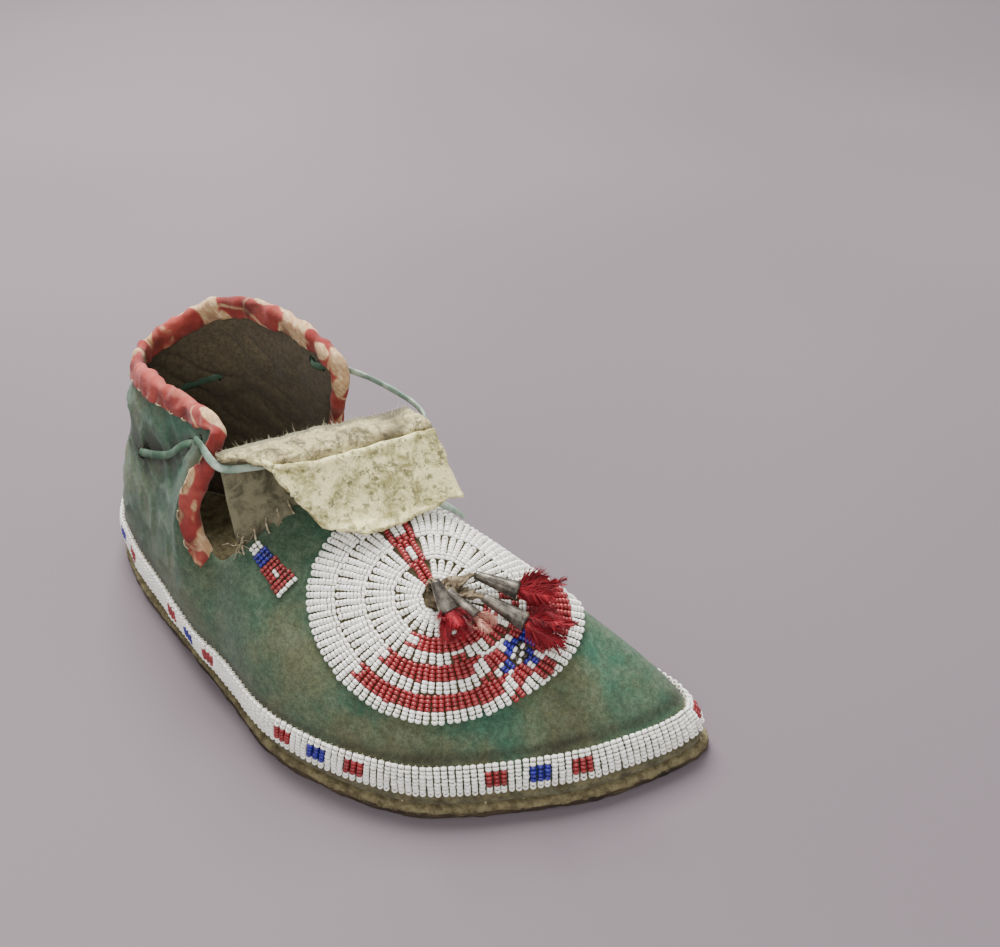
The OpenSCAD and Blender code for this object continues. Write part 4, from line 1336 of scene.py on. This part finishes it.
# ---------------------------------------------------------------- thong and knots
def make_thong(material):
    mesh = smooth_mesh("tie_thong", "tie_thong_hide", 2)
    co = coords(mesh)
    no = normals(mesh)
    wobble = np.array([ridged(*(p / MM / 5), 3) for p in co])
    set_coords(mesh, co + no * (wobble[:, None] * 0.16 - 0.2) * MM)
    ahead = soft_step(co[:, 0] / MM, -34, -29)
    set_tint(mesh, 0.15 + 0.7 * ahead)
    mesh.materials.append(material)
    return place(bpy.data.objects.new("tie_thong_hide", mesh), "shoe", ["tie_thong"])


def knot_line(centre, size, turn, count=90):
    """A closed overhand knot round centre."""
    t = np.linspace(0, 2 * math.pi, count)
    local = [np.sin(t) + 2 * np.sin(2 * t), np.cos(t) - 2 * np.cos(2 * t), -np.sin(3 * t) * 1.2]
    return centre + (np.stack(local, axis=1) / 3 * size) @ np.array(turn.to_matrix()).T


def make_knot(node, name, size, half_w, half_t, turn, material, slot):
    centre = middle_of(node)
    line = knot_line(centre, size, turn)
    out = unit(line - centre)
    pile = Pile()
    pile.add(*tube(line, out, half_w, half_t, 10, 0.85), tint=0.8)
    pile.build(name, [material], "shoe", [node], slot)


# ---------------------------------------------------------------- tassels
def axis_of(node, knot):
    """The two end centres and end radii of a CAD cone, tip first."""
    co = coords(NODES[node].data)
    mid = co.mean(0)
    axis = np.linalg.svd(co - mid, full_matrices=False)[2][0]
    if (mid - knot) @ axis < 0:
        axis = -axis
    t = (co - mid) @ axis
    ends = []
    for near in (t < t.min() + 0.3 * MM, t > t.max() - 0.3 * MM):
        ring = co[near]
        centre = ring.mean(0)
        ends.append((centre, float(np.linalg.norm(ring - centre, axis=1).max())))
    return ends[0], ends[1]


TIN_T = 0.3 * MM


def make_cone(k, tip, mouth, material):
    """A piece of tin rolled into a cone, with its edges overlapping."""
    (a, ra), (b, rb) = tip, mouth
    axis = unit(b - a)
    side = unit(np.cross(axis, [0.2, 0.3, 1.0]))
    up = np.cross(side, axis)
    long = float(np.linalg.norm(b - a))
    around, rows = 44, 16
    seam = 1.13
    outer, inner = [], []
    for j in range(rows):
        t = j / (rows - 1)
        row_o, row_i = [], []
        for i in range(around):
            turn = i / (around - 1)
            angle = turn * 2 * math.pi * seam + 0.6 * k
            jag = 0.35 * noise.noise(Vector((turn * 9, k * 3.3, 0.0))) * soft_step(t, 0.7, 1.0)
            dent = 0.09 * ridged(turn * 4, t * 3, k * 5.0, 2)
            r = ra + (rb - ra) * t + (0.22 * MM if turn > 0.9 else 0.0) + dent * MM
            direction = side * math.cos(angle) + up * math.sin(angle)
            spine = a + axis * (long * t + jag * MM)
            row_o.append(spine + direction * r)
            row_i.append(spine + direction * (r - TIN_T))
        outer.append(row_o)
        inner.append(row_i)
    pile = Pile()
    points = np.concatenate([np.reshape(outer, (-1, 3)), np.reshape(inner, (-1, 3))])
    pile.add(points, sheet_quads(rows, around))
    piece = pile.build(f"tin_cone_{k}_rolled", [material], f"tassel_{k}", [f"tin_cone_{k}"], "old_tin")
    face_outward(piece.data)


BARB = 4.6 * MM


def make_tuft(k, tip, mouth, material, count):
    """A tuft of dyed down: small soft feathers whose barbs cling together in clumps."""
    (a, _), (b, rb) = tip, mouth
    axis = unit(b - a)
    co = coords(NODES[f"horsehair_tuft_{k}"].data)
    past = float(((co - b) @ axis).max())
    off = co - b - np.outer((co - b) @ axis, axis)
    wide = float(np.linalg.norm(off, axis=1).max())
    size = min(1, past / (11 * MM))
    side = unit(np.cross(axis, [0.1, 0.2, 1.0]))
    up = np.cross(side, axis)
    pile = Pile()
    for f in range(count):
        angle = 2 * math.pi * (f + rng.uniform(0, 0.7)) / count
        out = side * math.cos(angle) + up * math.sin(angle)
        if out[2] < 0:
            out = unit(out + [0, 0, 0.8])
        spread = wide * rng.uniform(0.3, 1.25)
        reach = past * rng.uniform(0.6, 1.15)
        t = np.linspace(0, 1, 44)
        root = b - axis * 1.5 * MM + out * rb * rng.uniform(0, 0.6)
        tipward = b + axis * reach + out * spread + np.array([0, 0, rng.uniform(0.0, 0.42) * past])
        bow = np.outer(np.sin(math.pi * t) * t, rng.normal(0, 0.16, 3)) * past
        shaft = root + np.outer(t, tipward - root) + bow
        flow = unit(np.gradient(shaft, axis=0))
        vane = unit(np.cross(flow, out + rng.normal(0, 0.5, 3)))
        tone = rng.uniform(0.25, 0.85)
        pile.add(*tube(shaft, out, 0.1 * MM, 0.1 * MM, 4), tint=tone)
        for i in range(4, len(t)):
            for way in (-1, 1):
                clump = 0.5 * noise.noise(Vector((i * 0.33, f * 7.1, way * 3.0)))
                heading = unit(flow[i] * (0.9 + clump) + way * vane[i] * 0.75 + rng.normal(0, 0.14, 3))
                long = BARB * math.sin(math.pi * (0.2 + 0.72 * t[i])) * rng.uniform(0.65, 1.15) * size
                s = np.linspace(0, 1, 5)
                curl = flow[i] * 0.6 + rng.normal(0, 0.25, 3) - np.array([0, 0, 0.25])
                line = shaft[i] + np.outer(s, heading) * long + np.outer(s**2, curl) * long * 0.45
                width = 0.24 * MM * (1.05 - s)
                shade = float(np.clip(tone + rng.normal(0, 0.15), 0, 1))
                pile.add(*tube(line, out, width, width * 0.4, 4, round_ends=False), tint=shade)
    pile.build(f"tuft_{k}_down", [material], f"tassel_{k}", [f"horsehair_tuft_{k}"], "red_hair")


def make_lace(k, tip, mouth, knot, material):
    """The two crumpled strips of hide that carry a cone, drawn together into its tip."""
    (a, _), (b, _) = tip, mouth
    axis = unit(b - a)
    start = knot + unit(a - knot) * 1.5 * MM
    pile = Pile()
    for ply in (-1, 1):
        aside = unit(np.cross(a - knot, [0, 0, 1.0])) * ply * 0.9 * MM
        rise = np.array([0, 0, 0.9]) * MM
        bow = (start * 0.6 + a * 0.4) + aside + rise
        line = curve_through([start + aside, bow, a, a + axis * 3 * MM, a + axis * 6 * MM], 14)
        n = len(line)
        inside = soft_step(np.arange(n) / n, 0.32, 0.5)
        crumple = np.array([ridged(i * 0.42, k * 4.0, ply * 2.0, 2) for i in range(n)])
        bend = np.array([[ridged(i * 0.3, k + c * 3.1, ply * 5.0, 2) for c in range(3)] for i in range(n)])
        line = line + bend * 0.7 * MM * (1 - inside)[:, None]
        turn = np.array([[math.sin(i * 0.16 + k), 0.4 * ply, 1.0] for i in range(n)])
        half_w = (2.3 * (1 - inside) + 0.75 * inside) * (1 + 0.3 * crumple) * MM
        pile.add(*tube(line, unit(turn), half_w, 0.55 * MM * (1 - 0.3 * crumple), 12, 0.8))
    pile.build(f"tassel_lace_{k}_hide", [material], f"tassel_{k}", [f"tassel_lace_{k}"], "lace_hide")


def make_tassel_knot(centre, out, material):
    """Crumpled turns of hide drawn down through the middle of the rosette."""
    pile = Pile()
    side = unit(np.cross(out, [0, 1.0, 0.2]))
    ahead = np.cross(side, out)
    for turn in range(7):
        start = turn * 1.3
        a = np.linspace(0, 1.5 * math.pi, 40) + start
        crumple = np.array([ridged(x * 1.3, turn * 3.0, 0.4, 2) for x in a])
        r = (2.9 + 0.9 * crumple - 0.28 * turn) * MM
        level = (-1.6 + 0.62 * turn + 0.8 * crumple) * MM
        line = centre + np.outer(r * np.cos(a), side) + np.outer(r * np.sin(a), ahead) + np.outer(level, out)
        ups = unit(line - centre + np.outer(crumple, out) * 2 * MM)
        pile.add(*tube(line, ups, (1.7 + 0.5 * crumple) * MM, (0.65 - 0.15 * crumple) * MM, 12, 0.8))
    pile.build("tassel_knot_hide", [material], "shoe", ["tassel_knot"], "lace_hide")


# ---------------------------------------------------------------- stage
def make_stage():
    """A plain pale floor and soft light from the room and two wide lamps."""
    bpy.ops.mesh.primitive_plane_add(size=6, location=(0, 0, 0))
    floor = bpy.context.object
    floor.name = "floor"
    look = Look("floor_paper", roughness=0.9, specular=0.1)
    base = look.mottled(look.noise(1.5, 2), 0.3, 0.7, colour(106, 97, 101), colour(116, 107, 110))
    floor.data.materials.append(look.done(base))
    world = bpy.data.worlds.new("soft_room")
    world.use_nodes = True
    world.node_tree.nodes["Background"].inputs["Color"].default_value = (0.86, 0.86, 0.9, 1)
    world.node_tree.nodes["Background"].inputs["Strength"].default_value = 0.92
    bpy.context.scene.world = world
    for name, spot, size, power in (
        ("key_light", (-0.55, 0.35, 1.15), 0.7, 50),
        ("fill_light", (0.9, -0.9, 0.9), 1.2, 12),
    ):
        data = bpy.data.lights.new(name, "AREA")
        data.size = size
        data.energy = power
        light = bpy.data.objects.new(name, data)
        light.location = spot
        light.rotation_euler = (Vector((0, 0, 0.03)) - Vector(spot)).to_track_quat("-Z", "Y").to_euler()
        bpy.context.scene.collection.objects.link(light)


# ---------------------------------------------------------------- scene
make_camera()
THONG = thong_hide()
loose_end("tie_end_long_hide", LONG_END, "tie_end_long", THONG)
loose_end("tie_end_short_hide", SHORT_END, "tie_end_short", THONG)

THREAD = thread()
LACE = lace_hide()
upper = make_upper(green_suede())
skin = Skin(upper)
make_sole(rawhide())

BEAD_LOOKS = [
    bead_glass("bead_white", colour(252, 250, 242), colour(226, 223, 208)),
    bead_glass("bead_red", colour(156, 44, 48), colour(100, 20, 24)),
    bead_glass("bead_blue", colour(36, 30, 150), colour(18, 14, 86)),
    bead_glass("bead_dark", colour(60, 56, 48), colour(24, 22, 20)),
    THREAD,
]
make_border(skin, BEAD_LOOKS)
rosette = Rosette(skin)
make_rings(rosette, BEAD_LOOKS)
make_stripe(rosette, BEAD_LOOKS)
make_tab(skin, "throat_tab_lateral", "tab_beads_lateral", BEAD_LOOKS)
make_tab(skin, "throat_tab_medial", "tab_beads_medial", BEAD_LOOKS)

CLOTH = print_cloth()
make_binding("collar_binding_lateral", "binding_cloth_lateral", CLOTH)
make_binding("collar_binding_medial", "binding_cloth_medial", CLOTH)
fold = Fold()
foot, foot_outs = make_tongue(fold, skin, tongue_suede(), cloth_fibre())
frayed_threads(foot, foot_outs, THREAD)

thread_stitches("heel_seam_stitches", "heel_seam_threads", skin, THREAD, 0.42 * MM, 0.5 * MM)
thread_stitches("binding_stitches", "binding_threads", skin, THREAD, 0.24 * MM, 0.3 * MM)
thread_stitches("tongue_stitches", "tongue_threads", skin, THREAD, 0.3 * MM, 0.7 * MM)
thread_stitches("sole_stitches", "sole_threads", skin, THREAD, 0.3 * MM, 0.15 * MM)

make_thong(THONG)
KNOT_TURN = Euler((0.4, 0.3, 0.2))
make_knot("tie_knot", "tie_knot_hide", 2.7 * MM, 1.35 * MM, 0.8 * MM, KNOT_TURN, THONG, "thong_hide")

TIN = old_tin()
RED_DOWN, PALE_DOWN = red_down(), pale_down()
FEATHERS = [22, 22, 16, 4]
knot_centre = middle_of("tassel_knot")
make_tassel_knot(knot_centre, rosette.out, LACE)
for k in range(1, 5):
    tip, mouth = axis_of(f"tin_cone_{k}", knot_centre)
    make_lace(k, tip, mouth, knot_centre, LACE)
    make_cone(k, tip, mouth, TIN)
    make_tuft(k, tip, mouth, PALE_DOWN if k == 4 else RED_DOWN, FEATHERS[k - 1])

make_stage()
